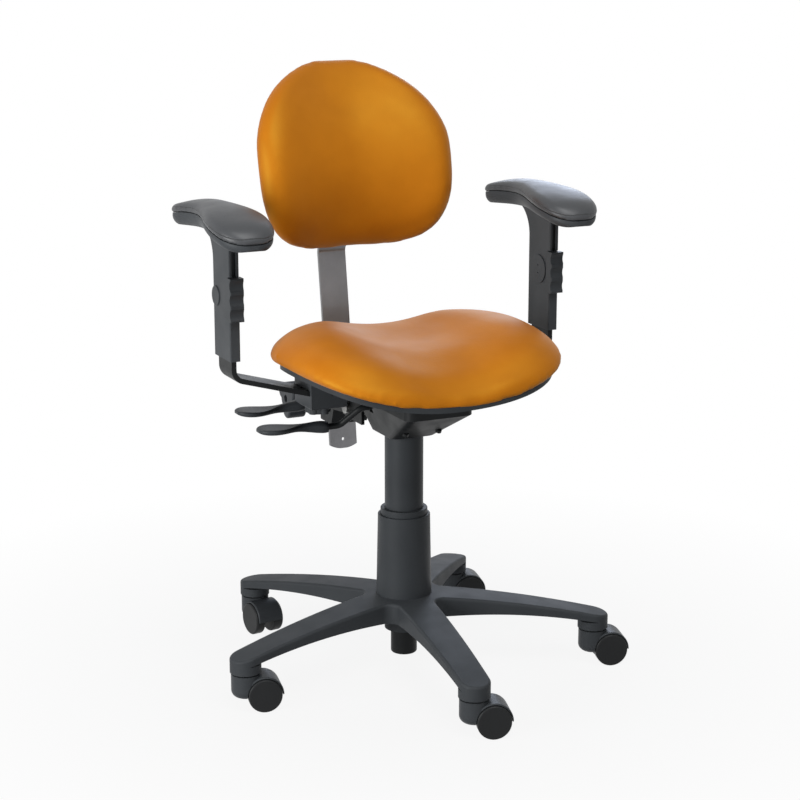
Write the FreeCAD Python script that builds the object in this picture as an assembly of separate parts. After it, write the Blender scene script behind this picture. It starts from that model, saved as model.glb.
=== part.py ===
import FreeCAD, Part
import math
import os

from FreeCAD import Vector

# Saddle chair with adjustable arms. Millimetres, +Z up, the sitter faces -Y.
# The origin is on the floor, on the axis of the column.

# Fits
GAP = 0.4                    # clear space between pieces that slide or swing past each other
AXIAL_PLAY = 0.1             # end play of the bearing and the clip
FIT = 0.05                   # radial running clearance of a shaft in its hole
PRESS = 0.02                 # radial clearance of a pressed or clamped seat
MARGIN = 5.0                 # how far a cutting solid reaches past what it cuts

# Five-arm base
BASE_ARMS = 5
BASE_FIRST_DEG = -23.75      # direction of the first arm in plan
STEM_CIRCLE_R = 290.0        # caster stems stand on this circle
BOSS_R = 23.0                # rounded arm end that holds a stem
BOSS_BOTTOM_Z = 57.5
BOSS_HEIGHT = 20.3
HUB_TOP_Z = 117.9
HUB_R = 43.0
HUB_DEPTH = 33.5             # depth of the arms where they leave the hub
COLLAR_R = 29.5
COLLAR_BOTTOM_Z = 61.0
ARM_ROOT_WIDTH = 62.0
ARM_MID_DEPTH = 17.5
ARM_TIP_DEPTH = 11.5         # depth of the arm where it meets its boss
ARM_ARCH = 5.5               # rise of the arm's back above a straight line
CROTCH_R = 16.0              # fillet where two arms meet
ARM_EDGE_R = 4.0             # rounding along the arm's upper edges
ARM_WALL = 4.0
ARM_RIB = 3.0                # thickness of the ribs under an arm

# Casters
WHEEL_R = 25.0
WHEEL_BORE_R = 3.0
WHEEL_INNER_Y = 8.0          # inner face of a wheel, from the middle of the caster
WHEEL_OUTER_Y = 24.0
WHEEL_EDGE_R = 2.5
AXLE_END_Y = 19.5
CASTER_TRAIL = 25.0
HOOD_R = 28.0
HOOD_HALF_WIDTH = 21.0
HOOD_EDGE_R = 2.0
WHEEL_CLEAR = 1.0            # clear space round a wheel inside its hood
WEB_AXLE_R = 9.0             # boss of the hood's middle web round the axle
NECK_R = 21.5
NECK_BOTTOM_Z = 19.5
NECK_EDGE_R = 11.0
NECK_GAP = 2.5               # open ring between the arm end and the caster's neck
STEM_R = 5.5
STEM_BOTTOM_Z = 26.0
STEM_FLANGE_R = 11.0
STEM_TOP_COVER = 4.0         # material left above the stem in the arm end
CASTERS = ("front_left", "front_right", "right", "back", "left")
CASTER_ARM = (3, 4, 0, 1, 2)                       # which arm carries each caster
CASTER_TRAIL_DEG = (-11.65, -16.65, -15.65, -13.65, -82.65)

# Column
STAND_TUBE_R = 25.0
STAND_TUBE_WALL = 3.0
STAND_TUBE_TOP_Z = 237.0
STUB_R = 20.0
STUB_BOTTOM_Z = 21.4
STUB_EDGE_R = 3.0
STUB_FLOOR = 5.0
BEARING_THICK = 4.0
BEARING_OUTER_R = 13.0
CLIP_R = 9.0
CLIP_THICK = 1.5
ROD_R = 5.0
ROD_SHOULDER_R = 8.0
ROD_SHOULDER_HEIGHT = 6.0
PISTON_HEIGHT = 14.0
PISTON_Z = 190.0
CYLINDER_R = 14.0
CYLINDER_BORE_R = 12.0
CYLINDER_BOTTOM_Z = 140.0
CYLINDER_CAP = 8.0
CYLINDER_TOP_Z = 418.0
CYLINDER_TAPER = 1.0         # how much the top end narrows, on radius
CYLINDER_TAPER_LENGTH = 45.0
RELEASE_PIN_R = 4.0
RELEASE_PIN_HEIGHT = 6.0
COVER_WALL = 2.5
LOWER_COVER_TOP_R = 39.5
LOWER_COVER_BOTTOM_R = 42.0
LOWER_COVER_TOP_Z = 243.1
MIDDLE_COVER_R = 35.5
MIDDLE_COVER_BOTTOM_Z = 150.0
MIDDLE_COVER_TOP_Z = 252.7
UPPER_COVER_R = 29.0
UPPER_COVER_BOTTOM_Z = 217.0
COVER_LIP = 4.0              # height of the inward lip at a cover's top
COVER_EDGE_R = 1.5
BUSH_HEIGHT = 30.0           # guide for the gas cylinder at the top of the stand tube

# Seat mechanism: a deep pan on the column and two cheeks behind it for the back's hinge
PAN_TOP_Z = 438.5
PAN_HALF_WIDTH = 54.0
PAN_FRONT_Y = -125.0
PAN_REAR_Y = 65.0
PAN_WALL_HEIGHT = 21.0       # upright part of the pan's side
PAN_CORNER_R = 14.0
PAN_BOTTOM_Z = 368.3
PAN_BOTTOM_HALF_WIDTH = 37.0
PAN_BOTTOM_FRONT_Y = -36.0
PAN_BOTTOM_REAR_Y = 42.0
PAN_WALL = 4.0
PAN_EDGE_R = 3.0
SOCKET_R = 21.0              # tapered socket for the gas cylinder
PAN_SLOT_Y = -72.0           # small slot in both sides of the pan
PAN_SLOT_LENGTH = 11.0
PAN_SLOT_HEIGHT = 7.0
PAN_RIVET_R = 4.5            # round rivet heads under the pan
PAN_RIVET_RISE = 2.5
PAN_RIVET_X = 27.0
PAN_RIVET_Y = -62.0
CHEEK_INNER_X = 37.0
CHEEK_OUTER_X = 42.0
CHEEK_REAR_Y = 132.0
CHEEK_BOTTOM_Z = 369.5
CHEEK_NOSE_R = 16.0
PIVOT_Y = 110.0              # hinge of the back
PIVOT_Z = 387.0
PIVOT_R = 6.0
PIVOT_HEAD_R = 9.5
PIVOT_HEAD_THICK = 7.0

# Seat plate, shell, board and cushion
PLATE_THICK = 4.0
PLATE_HALF_X = 84.0
PLATE_FRONT_Y = -112.0
PLATE_REAR_Y = 112.0
PLATE_CORNER_R = 12.0
SEAT_BOLT_R = 4.0
SEAT_BOLT_HEAD_R = 7.0
SEAT_BOLT_HEAD = 4.5
SEAT_BOLT_END = 2.0          # how far a bolt ends below the dish
SEAT_BOLT_X = 68.0
SEAT_BOLT_FRONT_Y = -92.0
SEAT_BOLT_REAR_Y = 92.0
SEAT_FRONT_Y = -194.2
SEAT_REAR_Y = 144.2
SEAT_WAIST_Y = 11.6
SEAT_HALF_WIDTH = 193.0
SEAT_FRONT_POWER = 3.96      # squareness of the outline in front of its widest line and behind it
SEAT_REAR_POWER = 1.71
SEAT_PLAN_STEPS = 6          # points along a quarter of the outline
SEAT_DISH_Z = 450.9          # lowest line of the dished shell's inside
SEAT_DISH_RISE = 28.9        # how far the dish rises over its half chord
SEAT_DISH_CHORD = 170.0
SHELL_THICK = 8.0
SHELL_INSET = 3.0            # how far the shell's rim lies inside the cushion's edge
SHELL_BOSS_R = 12.0
BOARD_THICK = 4.0
BOARD_INSET = 24.0
CUSHION_DRAW = 4.0           # how far the cushion's sides start below its edge
CUSHION_BULGE = 12.0         # how far the cushion swells past the rim
CUSHION_CREST_Z = (509.0, 551.3, 516.2)                # pull of the bolster's crest, front to rear
CUSHION_VALLEY_Z = 520.0     # middle of the seat, at the rear
CUSHION_POMMEL_Z = 502.4     # middle of the seat, at the front
CUSHION_CREST_SHARE = 0.81   # place of the bolster's crest, as a share of the half width
CUSHION_FRONT_ROLL = 82.8    # length of the rolled front edge
CUSHION_REAR_ROLL = 59.3
CUSHION_SIDE_SHARE = 0.36    # height of the widest line, as a share of the crest's height
ROLL_STEPS = (0.0, 0.35, 0.62, 0.82, 0.94, 0.997)# sections along a rolled edge
SEAT_STEPS = 4               # sections along the plain middle of the seat

# Backrest
BACK_BOTTOM_Z = 618.0
BACK_TOP_Z = 903.5
BACK_WIDEST_Z = 769.3
BACK_HALF_WIDTH = 159.5
BACK_LOWER_POWER = 3.2       # squareness of the outline below and above its widest line
BACK_UPPER_POWER = 2.0
BACK_FRONT_Y = 161.0         # middle of the cushion's front
BACK_SEAM_Y = 212.0          # where the cushion meets the shell, in the middle
BACK_REAR_Y = 230.0
BACK_WRAP = 44.0             # how far the wings come forward of the middle
BACK_LEAN_Z = 700.0          # the back leans rearward above this height and forward below it
BACK_LEAN_SPAN = 200.0
BACK_LEAN = 38.1             # straight and curved parts of the lean over one span
BACK_CURVE = 12.0
BACK_EDGE_THICK = 52.0       # cushion thickness at the wings
BACK_EDGE_POWER = 2.4        # how squarely the cushion's thickness ends at its rim
BACK_WING_ROUND = 0.85
BACK_SHELL_INSET = 14.0
BACK_SHELL_RIM = 7.0
BACK_SHELL_POWER = 4.0
BACK_STEPS = (0.0, 0.12, 0.3, 0.52, 0.74, 0.9, 0.98)   # sections from the widest line to an end

# Back bar and its carrier
BAR_WIDTH = 46.0
BAR_THICK = 5.5
BAR_TAIL_Z = 289.0
BAR_REF_Z = 299.5
BAR_REF_Y = 226.0            # middle of the bar at the reference height
BAR_LEAN_DEG = 7.4
BAR_KINK_Z = 514.5
BAR_KINK_LEAN_DEG = 8.5
BAR_BEND_Z = 604.0
BAR_FORWARD_DEG = -30.0
BAR_SEAT_Z = 690.0           # where the bar comes to lie against the back
BAR_TOP_Z = 784.5
BAR_BEND_R = 14.0
BAR_TAIL_RISE = 6.0          # arc of the bar's lower end
BAR_HOLE_R = 2.8
BAR_HOLE_Z = 303.5
BACK_BOLT_R = 4.0
BACK_BOLT_HEAD_R = 7.5
BACK_BOLT_HEAD = 4.0
BACK_BOLT_DEPTH = 13.0
BACK_BOLT_Z = (697.5, 755.5)
CARRIER_HALF_X = 31.0
CARRIER_BOTTOM_Z = 336.5
CARRIER_TOP_Z = 415.5
CARRIER_WALL = 9.0           # behind the bar
TONGUE_HALF_X = 36.0
TONGUE_R = 15.0
KNOB_AXIS_Y = 221.0
KNOB_AXIS_Z = 381.5
KNOB_FACE_X = -100.0
KNOB_THICK = 30.0
KNOB_R = 32.0
KNOB_LOBES = 3
KNOB_LOBE_R = 13.0
KNOB_HUB_R = 20.0
KNOB_BORE_R = 6.0
KNOB_BORE_DEPTH = 14.0
KNOB_STUD_R = 5.0
KNOB_EDGE_R = 3.0

# Levers on the sitter's right
LEVER_R = 5.0
LEVER_BEND_R = 14.0
LEVER_HUB_R = 7.0
LEVER_HUB_HALF = 6.0
LEVER_PIN_R = 2.5
LEVER_EAR_THICK = 3.0
LEVER_EAR_REACH = 8.0
LEVER_WINDOW = 18.0          # height of the opening that a lever swings in
HEIGHT_LEVER_X = -34.0       # pivot of the seat height lever
HEIGHT_LEVER_Y = 10.0
HEIGHT_LEVER_Z = 410.5
HEIGHT_LEVER_KNEE_X = -66.0
HEIGHT_LEVER_DROP_X = -93.0
HEIGHT_LEVER_LOW_Z = 382.5
HEIGHT_PADDLE_Y = 28.0
HEIGHT_PADDLE_NECK_Z = 385.5
HEIGHT_PADDLE_TIP_Z = 388.0
HEIGHT_FINGER_RISE = 4.2     # rest clearance of the finger over the release pin
HEIGHT_FINGER_THICK = 4.0
HEIGHT_FINGER_HALF = 6.0
TILT_LEVER_X = -53.0         # pivot of the back tilt lever
TILT_LEVER_Y = 100.0
TILT_LEVER_Z = 407.5
TILT_ARM_WIDTH = 14.0
TILT_ARM_THICK = 5.0
TILT_ARM_FALL_DEG = 4.5
TILT_PADDLE_NECK_Z = 399.0
TILT_PADDLE_TIP_Z = 400.5
PADDLE_LENGTH = 110.0
PADDLE_SOCKET = 22.0         # depth of the paddle's socket on its lever
HEIGHT_PADDLE_X = -113.0
TILT_PADDLE_X = -119.0
PADDLE_GRIP = 8.0            # half size of the grip
PADDLE_NECK_WIDTH = 6.5
PADDLE_NECK_THICK = 6.0
PADDLE_SPOON_WIDTH = 20.0
PADDLE_SPOON_THICK = 3.6
PADDLE_CORNER = 0.85         # roundness of the paddle's sections
PADDLE_NECK_AT = 0.36        # places along the paddle, as shares of its length
PADDLE_GRIP_AT = 0.2
PADDLE_SPOON_AT = 0.66
PADDLE_TIP_AT = 0.93

# Arms, drawn on the sitter's right
ARM_X = -260.5               # middle of the upright
ARM_BAR_THICK = 7.5
ARM_BAR_FRONT_Y = 21.0
ARM_BAR_REAR_Y = 73.0
ARM_BAR_SLOPE_DEG = 15.7
ARM_BAR_REF_X = -141.0
ARM_BAR_REF_Z = 436.5
ARM_BAR_INNER_X = -82.0
ARM_BAR_BEND_R = 18.0
ARM_BAR_TOP_Z = 624.5
ARM_HOLE_R = 3.5             # row of latch holes in the upright
ARM_HOLE_PITCH = 15.0
ARM_HOLE_COUNT = 6
ARM_HOLE_FIRST_Z = 514.5
ARM_WIDTH_TRAVEL = 25.0      # each way
MOUNT_INNER_X = -86.0
MOUNT_OUTER_X = -143.0
MOUNT_WALL = 6.0             # in front of and behind the bar
MOUNT_BOTTOM_Z = 412.5
MOUNT_ROOM_Z = 480.0         # clear of the highest point of a mount
MOUNT_EDGE_R = 3.0
MOUNT_WINDOW_X = -104.0      # small window in the front of a mount
MOUNT_WINDOW_LENGTH = 14.0
MOUNT_WINDOW_HEIGHT = 6.0
MOUNT_WINDOW_Z = 435.5
CLAMP_TOP_Z = 446.5
CLAMP_X = -119.0
CLAMP_KNOB_R = 20.0
CLAMP_KNOB_THICK = 10.5
CLAMP_LOBES = 5
CLAMP_LOBE_R = 7.0
CLAMP_STUD_R = 4.0
CLAMP_SLOT_SIDE = 1.5        # clear space round the stud in the bar's slot
SLEEVE_HALF_X = 7.75
SLEEVE_FRONT_Y = 14.0
SLEEVE_REAR_Y = 79.0
SLEEVE_BOTTOM_Z = 498.0
SLEEVE_TOP_Z = 684.5
SLEEVE_FLARE_Z = 637.0
SLEEVE_EDGE_R = 2.0
SLEEVE_ROOF = 7.0
GROOVE_HALF_X = 3.5
GROOVE_DEPTH = 5.0
TRIGGER_BOTTOM_Z = 557.5
TRIGGER_TOP_Z = 620.5
TRIGGER_FRONT_Y = 2.5
TRIGGER_BACK_Y = 14.5
TRIGGER_TRAVEL = 3.5
TRIGGER_SKIN = 2.4           # thickness of its side plates
TRIGGER_CHEEK_Y = 19.0
TRIGGER_EDGE_R = 1.5
SCALLOPS = 3
SCALLOP_R = 12.0
SCALLOP_DEPTH = 3.2
BUTTON_Y = 60.0
BUTTON_Z = 588.0
BUTTON_R = 15.0
BUTTON_RISE = 1.6
BUTTON_PIN_R = 3.0
CAP_Y = 46.0
CAP_Z = 589.5
CAP_R = 22.0
CAP_THICK = 2.0
CAP_HOLE_R = 1.3
CAP_HOLE_SPACING = 12.0
PAD_FRONT_Y = -68.0
PAD_REAR_Y = 194.5
PAD_FRONT_ROUND = 42.0       # length of the rounded front end
PAD_REAR_ROUND = 30.0
PAD_FRONT_HALF = 41.5
PAD_NECK_Y = 37.0
PAD_NECK_HALF = 36.0
PAD_WAIST_Y = 100.0          # narrowest place, where the forearm crosses
PAD_WAIST_HALF = 27.5
PAD_REAR_HALF = 35.5
PAD_ARCH_Y = 88.0            # highest place of the seam, which runs in a long arch
PAD_ARCH_Z = 702.0
PAD_ARCH_R = 500.0
PAD_SEAM_GAP = 0.4
PAD_CROWN = 24.0             # height of the soft pad above its seam at the front
PAD_CROWN_FALL = 0.42        # share of the crown that is gone at the rear end
PAD_SIDE_SWELL = 2.0
PAD_SIDE_SHARE = 0.35        # height of the pad's widest line, as a share of its crown
PAD_SHOULDER_SHARE = 0.8
PAD_SHOULDER_RISE = 0.72
PAD_END_POWER = 0.6          # how squarely the pad's height ends
PAD_BASE_DRAW = 9.0          # how far the lower shell draws in underneath
PAD_SOCKET = 2.5             # depth of the sleeve's seat in the lower shell
PAD_STEPS = (0.0, 0.45, 0.74, 0.92, 0.985)


X_AXIS = Vector(1, 0, 0)
Y_AXIS = Vector(0, 1, 0)
Z_AXIS = Vector(0, 0, 1)
ORIGIN = Vector(0, 0, 0)
FULL_TURN = 360.0
FLAT = 0.001                 # how far an edge may stray and still count as level or upright
MIRROR_SIDES = (("right", -1), ("left", 1))        # sitter's sides and the sign of their X


def box(x0, x1, y0, y1, z0, z1):
    return Part.makeBox(x1 - x0, y1 - y0, z1 - z0, Vector(x0, y0, z0))


def rod(radius, start, end):
    """Round bar between two points."""
    span = end - start
    return Part.makeCylinder(radius, span.Length, start, span)


def upright(radius, z0, z1, x=0.0, y=0.0):
    return rod(radius, Vector(x, y, z0), Vector(x, y, z1))


def crossbar(radius, x0, x1, y, z):
    return rod(radius, Vector(x0, y, z), Vector(x1, y, z))


def line(a, b):
    return Part.LineSegment(a, b).toShape()


def arc(a, b, c):
    return Part.Arc(a, b, c).toShape()


def face_of(edges):
    return Part.Face(Part.Wire(edges))


def polygon(points):
    return Part.makePolygon(points + points[:1])


def turned(edges):
    """Solid of revolution about Z of a closed profile drawn at y = 0."""
    return face_of(edges).revolve(ORIGIN, Z_AXIS, FULL_TURN)


def turned_polygon(pairs):
    """Solid of revolution about Z of a profile given as radius and height pairs."""
    wire = polygon([Vector(radius, 0, height) for radius, height in pairs])
    return Part.Face(wire).revolve(ORIGIN, Z_AXIS, FULL_TURN)


def ring(outer, inner, z0, z1):
    return turned_polygon([(inner, z0), (outer, z0), (outer, z1), (inner, z1)])


def fused(shapes):
    return shapes[0].multiFuse(shapes[1:]).removeSplitter()


def rounded(shape, radius, keep):
    """Fillet every edge that keep() picks."""
    edges = [edge for edge in shape.Edges if keep(edge)]
    return shape.makeFillet(radius, edges)


def turned_about(shape, axis, degrees, centre=ORIGIN):
    copy = shape.copy()
    copy.rotate(centre, axis, degrees)
    return copy


def moved(shape, vector):
    copy = shape.copy()
    copy.translate(vector)
    return copy


def mirrored_x(shape):
    return shape.mirror(ORIGIN, X_AXIS)


def on_side(shape, sign):
    """Shapes are drawn on the sitter's right, at negative X, and mirrored for the left."""
    return shape if sign < 0 else mirrored_x(shape)


def level(edge, z):
    """Whether an edge lies flat at height z."""
    low, high = edge.BoundBox.ZMin, edge.BoundBox.ZMax
    return abs(low - z) < FLAT and abs(high - z) < FLAT


def is_upright(edge):
    return edge.BoundBox.XLength < FLAT and edge.BoundBox.YLength < FLAT


def rounded_rectangle(half_u, half_v, radius, place):
    """Closed wire of four arcs and four lines; place(u, v) puts a flat point in space."""
    inner_u = half_u - radius
    inner_v = half_v - radius
    bulge = radius * math.sqrt(0.5)
    corners = []
    for u, v in ((1, 1), (-1, 1), (-1, -1), (1, -1)):
        along_u = (u * half_u, v * inner_v)
        middle = (u * (inner_u + bulge), v * (inner_v + bulge))
        along_v = (u * inner_u, v * half_v)
        ends = (along_u, middle, along_v) if u * v > 0 else (along_v, middle, along_u)
        corners.append([place(*point) for point in ends])
    edges = []
    for index, points in enumerate(corners):
        edges.append(arc(*points))
        edges.append(line(points[-1], corners[(index + 1) % len(corners)][0]))
    return Part.Wire(edges)


def block(x0, x1, y0, y1, z0, z1, radius):
    """Box with its upright edges rounded."""
    centre = ((x0 + x1) / 2, (y0 + y1) / 2)
    wire = rounded_rectangle((x1 - x0) / 2, (y1 - y0) / 2, radius,
                             lambda u, v: Vector(centre[0] + u, centre[1] + v, z0))
    return Part.Face(wire).extrude(Vector(0, 0, z1 - z0))


def lofted(wires, ruled=False):
    return Part.makeLoft(wires, True, ruled)


def bent_strip(points, thickness, bend_r, place):
    """Outline of a flat bar bent along a path of flat points, with true inner and outer bends."""
    flat = [Vector(u, v, 0) for u, v in points]
    runs = [(b - a).normalize() for a, b in zip(flat, flat[1:])]
    lefts = [Vector(-run.y, run.x, 0) for run in runs]
    put = lambda point: place(point.x, point.y)
    sides = []
    for offset in (thickness / 2, -thickness / 2):
        stops = [(flat[0] + lefts[0] * offset,)]
        for index in range(1, len(flat) - 1):
            turn = math.atan2(runs[index - 1].cross(runs[index]).z, runs[index - 1].dot(runs[index]))
            side = math.copysign(1.0, turn)
            back = bend_r * math.tan(abs(turn) / 2)
            start = flat[index] - runs[index - 1] * back
            centre = start + lefts[index - 1] * side * bend_r
            outward = (flat[index] - centre).normalize()
            end = flat[index] + runs[index] * back
            stops.append((start + lefts[index - 1] * offset, centre + outward * (bend_r - side * offset),
                          end + lefts[index] * offset))
        stops.append((flat[-1] + lefts[-1] * offset,))
        sides.append(stops)
    edges = []
    for stops in sides:
        for before, after in zip(stops, stops[1:]):
            edges.append(line(put(before[-1]), put(after[0])))
            if len(after) == 3:
                edges.append(arc(*[put(point) for point in after]))
    edges.append(line(put(sides[0][0][0]), put(sides[1][0][0])))
    edges.append(line(put(sides[0][-1][0]), put(sides[1][-1][0])))
    return Part.Face(Part.Wire(Part.__sortEdges__(edges)))


def bent_rod(points, radius, bend_r):
    """Round bar along straight runs joined by arcs."""
    edges = []
    here = points[0]
    for before, corner, after in zip(points, points[1:], points[2:]):
        into = (corner - before).normalize()
        out = (after - corner).normalize()
        back = bend_r * math.tan(into.getAngle(out) / 2)
        start = corner - into * back
        end = corner + out * back
        centre_way = (out - into).normalize()
        centre = corner + centre_way * (bend_r / math.cos(into.getAngle(out) / 2))
        edges.append(line(here, start))
        edges.append(arc(start, centre - centre_way * bend_r, end))
        here = end
    edges.append(line(here, points[-1]))
    circle = Part.Wire(Part.makeCircle(radius, points[0], points[1] - points[0]))
    return Part.Wire(edges).makePipeShell([circle], True, False)


def arm_angle(index):
    return BASE_FIRST_DEG + index * FULL_TURN / BASE_ARMS


def arm_end(index):
    """Centre of the stem hole in one arm end, at floor level."""
    angle = math.radians(arm_angle(index))
    return Vector(STEM_CIRCLE_R * math.cos(angle), STEM_CIRCLE_R * math.sin(angle), 0)


def arm_tip_top():
    return BOSS_BOTTOM_Z + BOSS_HEIGHT


def arm_reach():
    """Radius that the turned outlines of the arms run to, just past the arm ends."""
    return STEM_CIRCLE_R + BOSS_R + MARGIN


def arm_round(drop):
    """Turned dish that gives the arms their arched back, lowered by a wall thickness."""
    middle_top = (HUB_TOP_Z + arm_tip_top()) / 2 + ARM_ARCH - drop
    middle_r = (HUB_R + arm_reach()) / 2
    axis_low = Vector(0, 0, BOSS_BOTTOM_Z)
    end_low = Vector(arm_reach(), 0, BOSS_BOTTOM_Z)
    tip = Vector(arm_reach(), 0, arm_tip_top() - drop)
    hub_top = Vector(HUB_R, 0, HUB_TOP_Z - drop)
    axis_top = Vector(0, 0, HUB_TOP_Z - drop)
    return turned([line(axis_low, end_low), line(end_low, tip),
                   arc(tip, Vector(middle_r, 0, middle_top), hub_top),
                   line(hub_top, axis_top), line(axis_top, axis_low)])


def arm_belly():
    """Turned tool that hollows the arms from below, between the hub and the bosses."""
    middle_top = (HUB_TOP_Z + arm_tip_top()) / 2 + ARM_ARCH
    middle_r = (HUB_R + arm_reach()) / 2
    low = BOSS_BOTTOM_Z - MARGIN
    hub_low = Vector(HUB_R, 0, HUB_TOP_Z - HUB_DEPTH)
    axis_top = Vector(0, 0, HUB_TOP_Z - HUB_DEPTH)
    tip = Vector(arm_reach(), 0, arm_tip_top() - ARM_TIP_DEPTH)
    axis_low = Vector(0, 0, low)
    end_low = Vector(arm_reach(), 0, low)
    return turned([line(axis_low, axis_top), line(axis_top, hub_low),
                   arc(hub_low, Vector(middle_r, 0, middle_top - ARM_MID_DEPTH), tip),
                   line(tip, end_low), line(end_low, axis_low)])


def star_prism(inset, reach):
    """Five tapering arms in plan, as tall as the whole base."""
    root = ARM_ROOT_WIDTH / 2 - inset
    tip = BOSS_R - inset
    arms = []
    for index in range(BASE_ARMS):
        points = [Vector(0, -root, 0), Vector(reach, -tip, 0), Vector(reach + tip, 0, 0),
                  Vector(reach, tip, 0), Vector(0, root, 0)]
        plan = face_of([line(points[0], points[1]), arc(points[1], points[2], points[3]),
                        line(points[3], points[4]), line(points[4], points[0])])
        arms.append(turned_about(plan.extrude(Vector(0, 0, HUB_TOP_Z + MARGIN)), Z_AXIS, arm_angle(index)))
    star = fused(arms)
    return rounded(star, CROTCH_R - inset, lambda edge: is_upright(edge) and edge.BoundBox.Center.Length > 0
                   and math.hypot(edge.BoundBox.Center.x, edge.BoundBox.Center.y) < ARM_ROOT_WIDTH)


def stand_tube_profile(clear):
    """Outside of the stand tube: a stub, a taper that wedges in the hub and a plain tube."""
    return [(STUB_R + clear, COLLAR_BOTTOM_Z), (STAND_TUBE_R + clear, HUB_TOP_Z)]


def make_base_star():
    outside = star_prism(0.0, STEM_CIRCLE_R).common(arm_round(0.0))
    above = BOSS_BOTTOM_Z + FLAT
    back = rounded(outside, ARM_EDGE_R, lambda edge: not is_upright(edge) and on_back(edge, above))
    hollow = star_prism(ARM_WALL, STEM_CIRCLE_R - 2 * BOSS_R).common(arm_round(ARM_WALL))
    hollow = hollow.cut(upright(HUB_R, 0, HUB_TOP_Z))
    ribs = []
    for index in range(BASE_ARMS):
        rib = box(0, STEM_CIRCLE_R - BOSS_R, -ARM_RIB / 2, ARM_RIB / 2, 0, HUB_TOP_Z)
        ribs.append(turned_about(rib, Z_AXIS, arm_angle(index)))
    star = back.cut(arm_belly()).cut(hollow.cut(fused(ribs)))
    hub = upright(HUB_R, HUB_TOP_Z - HUB_DEPTH, HUB_TOP_Z)
    collar = upright(COLLAR_R, COLLAR_BOTTOM_Z, HUB_TOP_Z - HUB_DEPTH)
    boss_top = arm_tip_top() - ARM_TIP_DEPTH + ARM_WALL
    bosses = [moved(upright(BOSS_R, BOSS_BOTTOM_Z, boss_top), arm_end(index)) for index in range(BASE_ARMS)]
    star = fused([star, hub, collar] + bosses)
    taper = stand_tube_profile(PRESS)
    star = star.cut(turned_polygon([(0, taper[0][1]), taper[0], taper[1], (0, taper[1][1])]))
    for index in range(BASE_ARMS):
        star = star.cut(moved(upright(STEM_R + PRESS, BOSS_BOTTOM_Z, stem_top()), arm_end(index)))
    return star


def on_back(edge, low):
    """Whether an edge runs along the upper outline of the arms."""
    middle = edge.valueAt((edge.FirstParameter + edge.LastParameter) / 2)
    return edge.BoundBox.ZMin > low and math.hypot(middle.x, middle.y) > HUB_R + FLAT


def stem_top():
    return BOSS_BOTTOM_Z + BOSS_HEIGHT - STEM_TOP_COVER


def make_caster_stems():
    stems = []
    for index in range(BASE_ARMS):
        stem = upright(STEM_R, STEM_BOTTOM_Z, stem_top())
        flange = upright(STEM_FLANGE_R, BOSS_BOTTOM_Z - NECK_GAP + GAP, BOSS_BOTTOM_Z)
        stems.append(moved(fused([stem, flange]), arm_end(index)))
    return Part.makeCompound(stems)


def caster_placed(shape, index):
    turned_shape = turned_about(shape, Z_AXIS, CASTER_TRAIL_DEG[index])
    return moved(turned_shape, arm_end(CASTER_ARM[index]))


def wheel_disc(radius, y0, y1):
    """Disc on the caster's axle, drawn with the stem on the Z axis."""
    return rod(radius, Vector(CASTER_TRAIL, y0, WHEEL_R), Vector(CASTER_TRAIL, y1, WHEEL_R))


def make_caster_housing():
    hood = wheel_disc(HOOD_R, -HOOD_HALF_WIDTH, HOOD_HALF_WIDTH)
    hood = rounded(hood, HOOD_EDGE_R, lambda edge: edge.BoundBox.YLength < FLAT)
    hood = hood.cut(box(-HOOD_R, CASTER_TRAIL + 2 * HOOD_R, -2 * HOOD_R, 2 * HOOD_R, -HOOD_R, WHEEL_R))
    neck = upright(NECK_R, NECK_BOTTOM_Z, BOSS_BOTTOM_Z - NECK_GAP)
    neck = rounded(neck, NECK_EDGE_R, lambda edge: level(edge, NECK_BOTTOM_Z))
    web_half = WHEEL_INNER_Y - GAP
    body = fused([hood, neck])
    clear_r = WHEEL_R + WHEEL_CLEAR
    for sign in (-1, 1):
        near, far = sorted((sign * web_half, sign * 2 * HOOD_HALF_WIDTH))
        body = body.cut(wheel_disc(clear_r, near, far))
    boss = wheel_disc(WEB_AXLE_R, -web_half, web_half)
    axle = wheel_disc(WHEEL_BORE_R, -AXLE_END_Y, AXLE_END_Y)
    body = fused([body, boss, axle])
    return body.cut(upright(STEM_R + FIT, STEM_BOTTOM_Z - GAP, BOSS_BOTTOM_Z))


def make_caster_wheel(sign):
    """Wheel turned about Z, then laid on the axle on one side of the hood's web."""
    bore = WHEEL_BORE_R + FIT
    depth = AXLE_END_Y + GAP
    outer = WHEEL_OUTER_Y
    edge = WHEEL_EDGE_R
    corner = edge * (1 - math.sqrt(0.5))
    points = [Vector(*pair) for pair in (
        (bore, 0, WHEEL_INNER_Y), (WHEEL_R - edge, 0, WHEEL_INNER_Y),
        (WHEEL_R - corner, 0, WHEEL_INNER_Y + corner), (WHEEL_R, 0, WHEEL_INNER_Y + edge),
        (WHEEL_R, 0, outer - edge), (WHEEL_R - corner, 0, outer - corner), (WHEEL_R - edge, 0, outer),
        (0, 0, outer), (0, 0, depth), (bore, 0, depth))]
    wheel = turned([
        line(points[0], points[1]), arc(points[1], points[2], points[3]), line(points[3], points[4]),
        arc(points[4], points[5], points[6]), line(points[6], points[7]), line(points[7], points[8]),
        line(points[8], points[9]), line(points[9], points[0])])
    wheel.rotate(ORIGIN, X_AXIS, -sign * FULL_TURN / 4)
    return moved(wheel, Vector(CASTER_TRAIL, 0, WHEEL_R))


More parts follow.
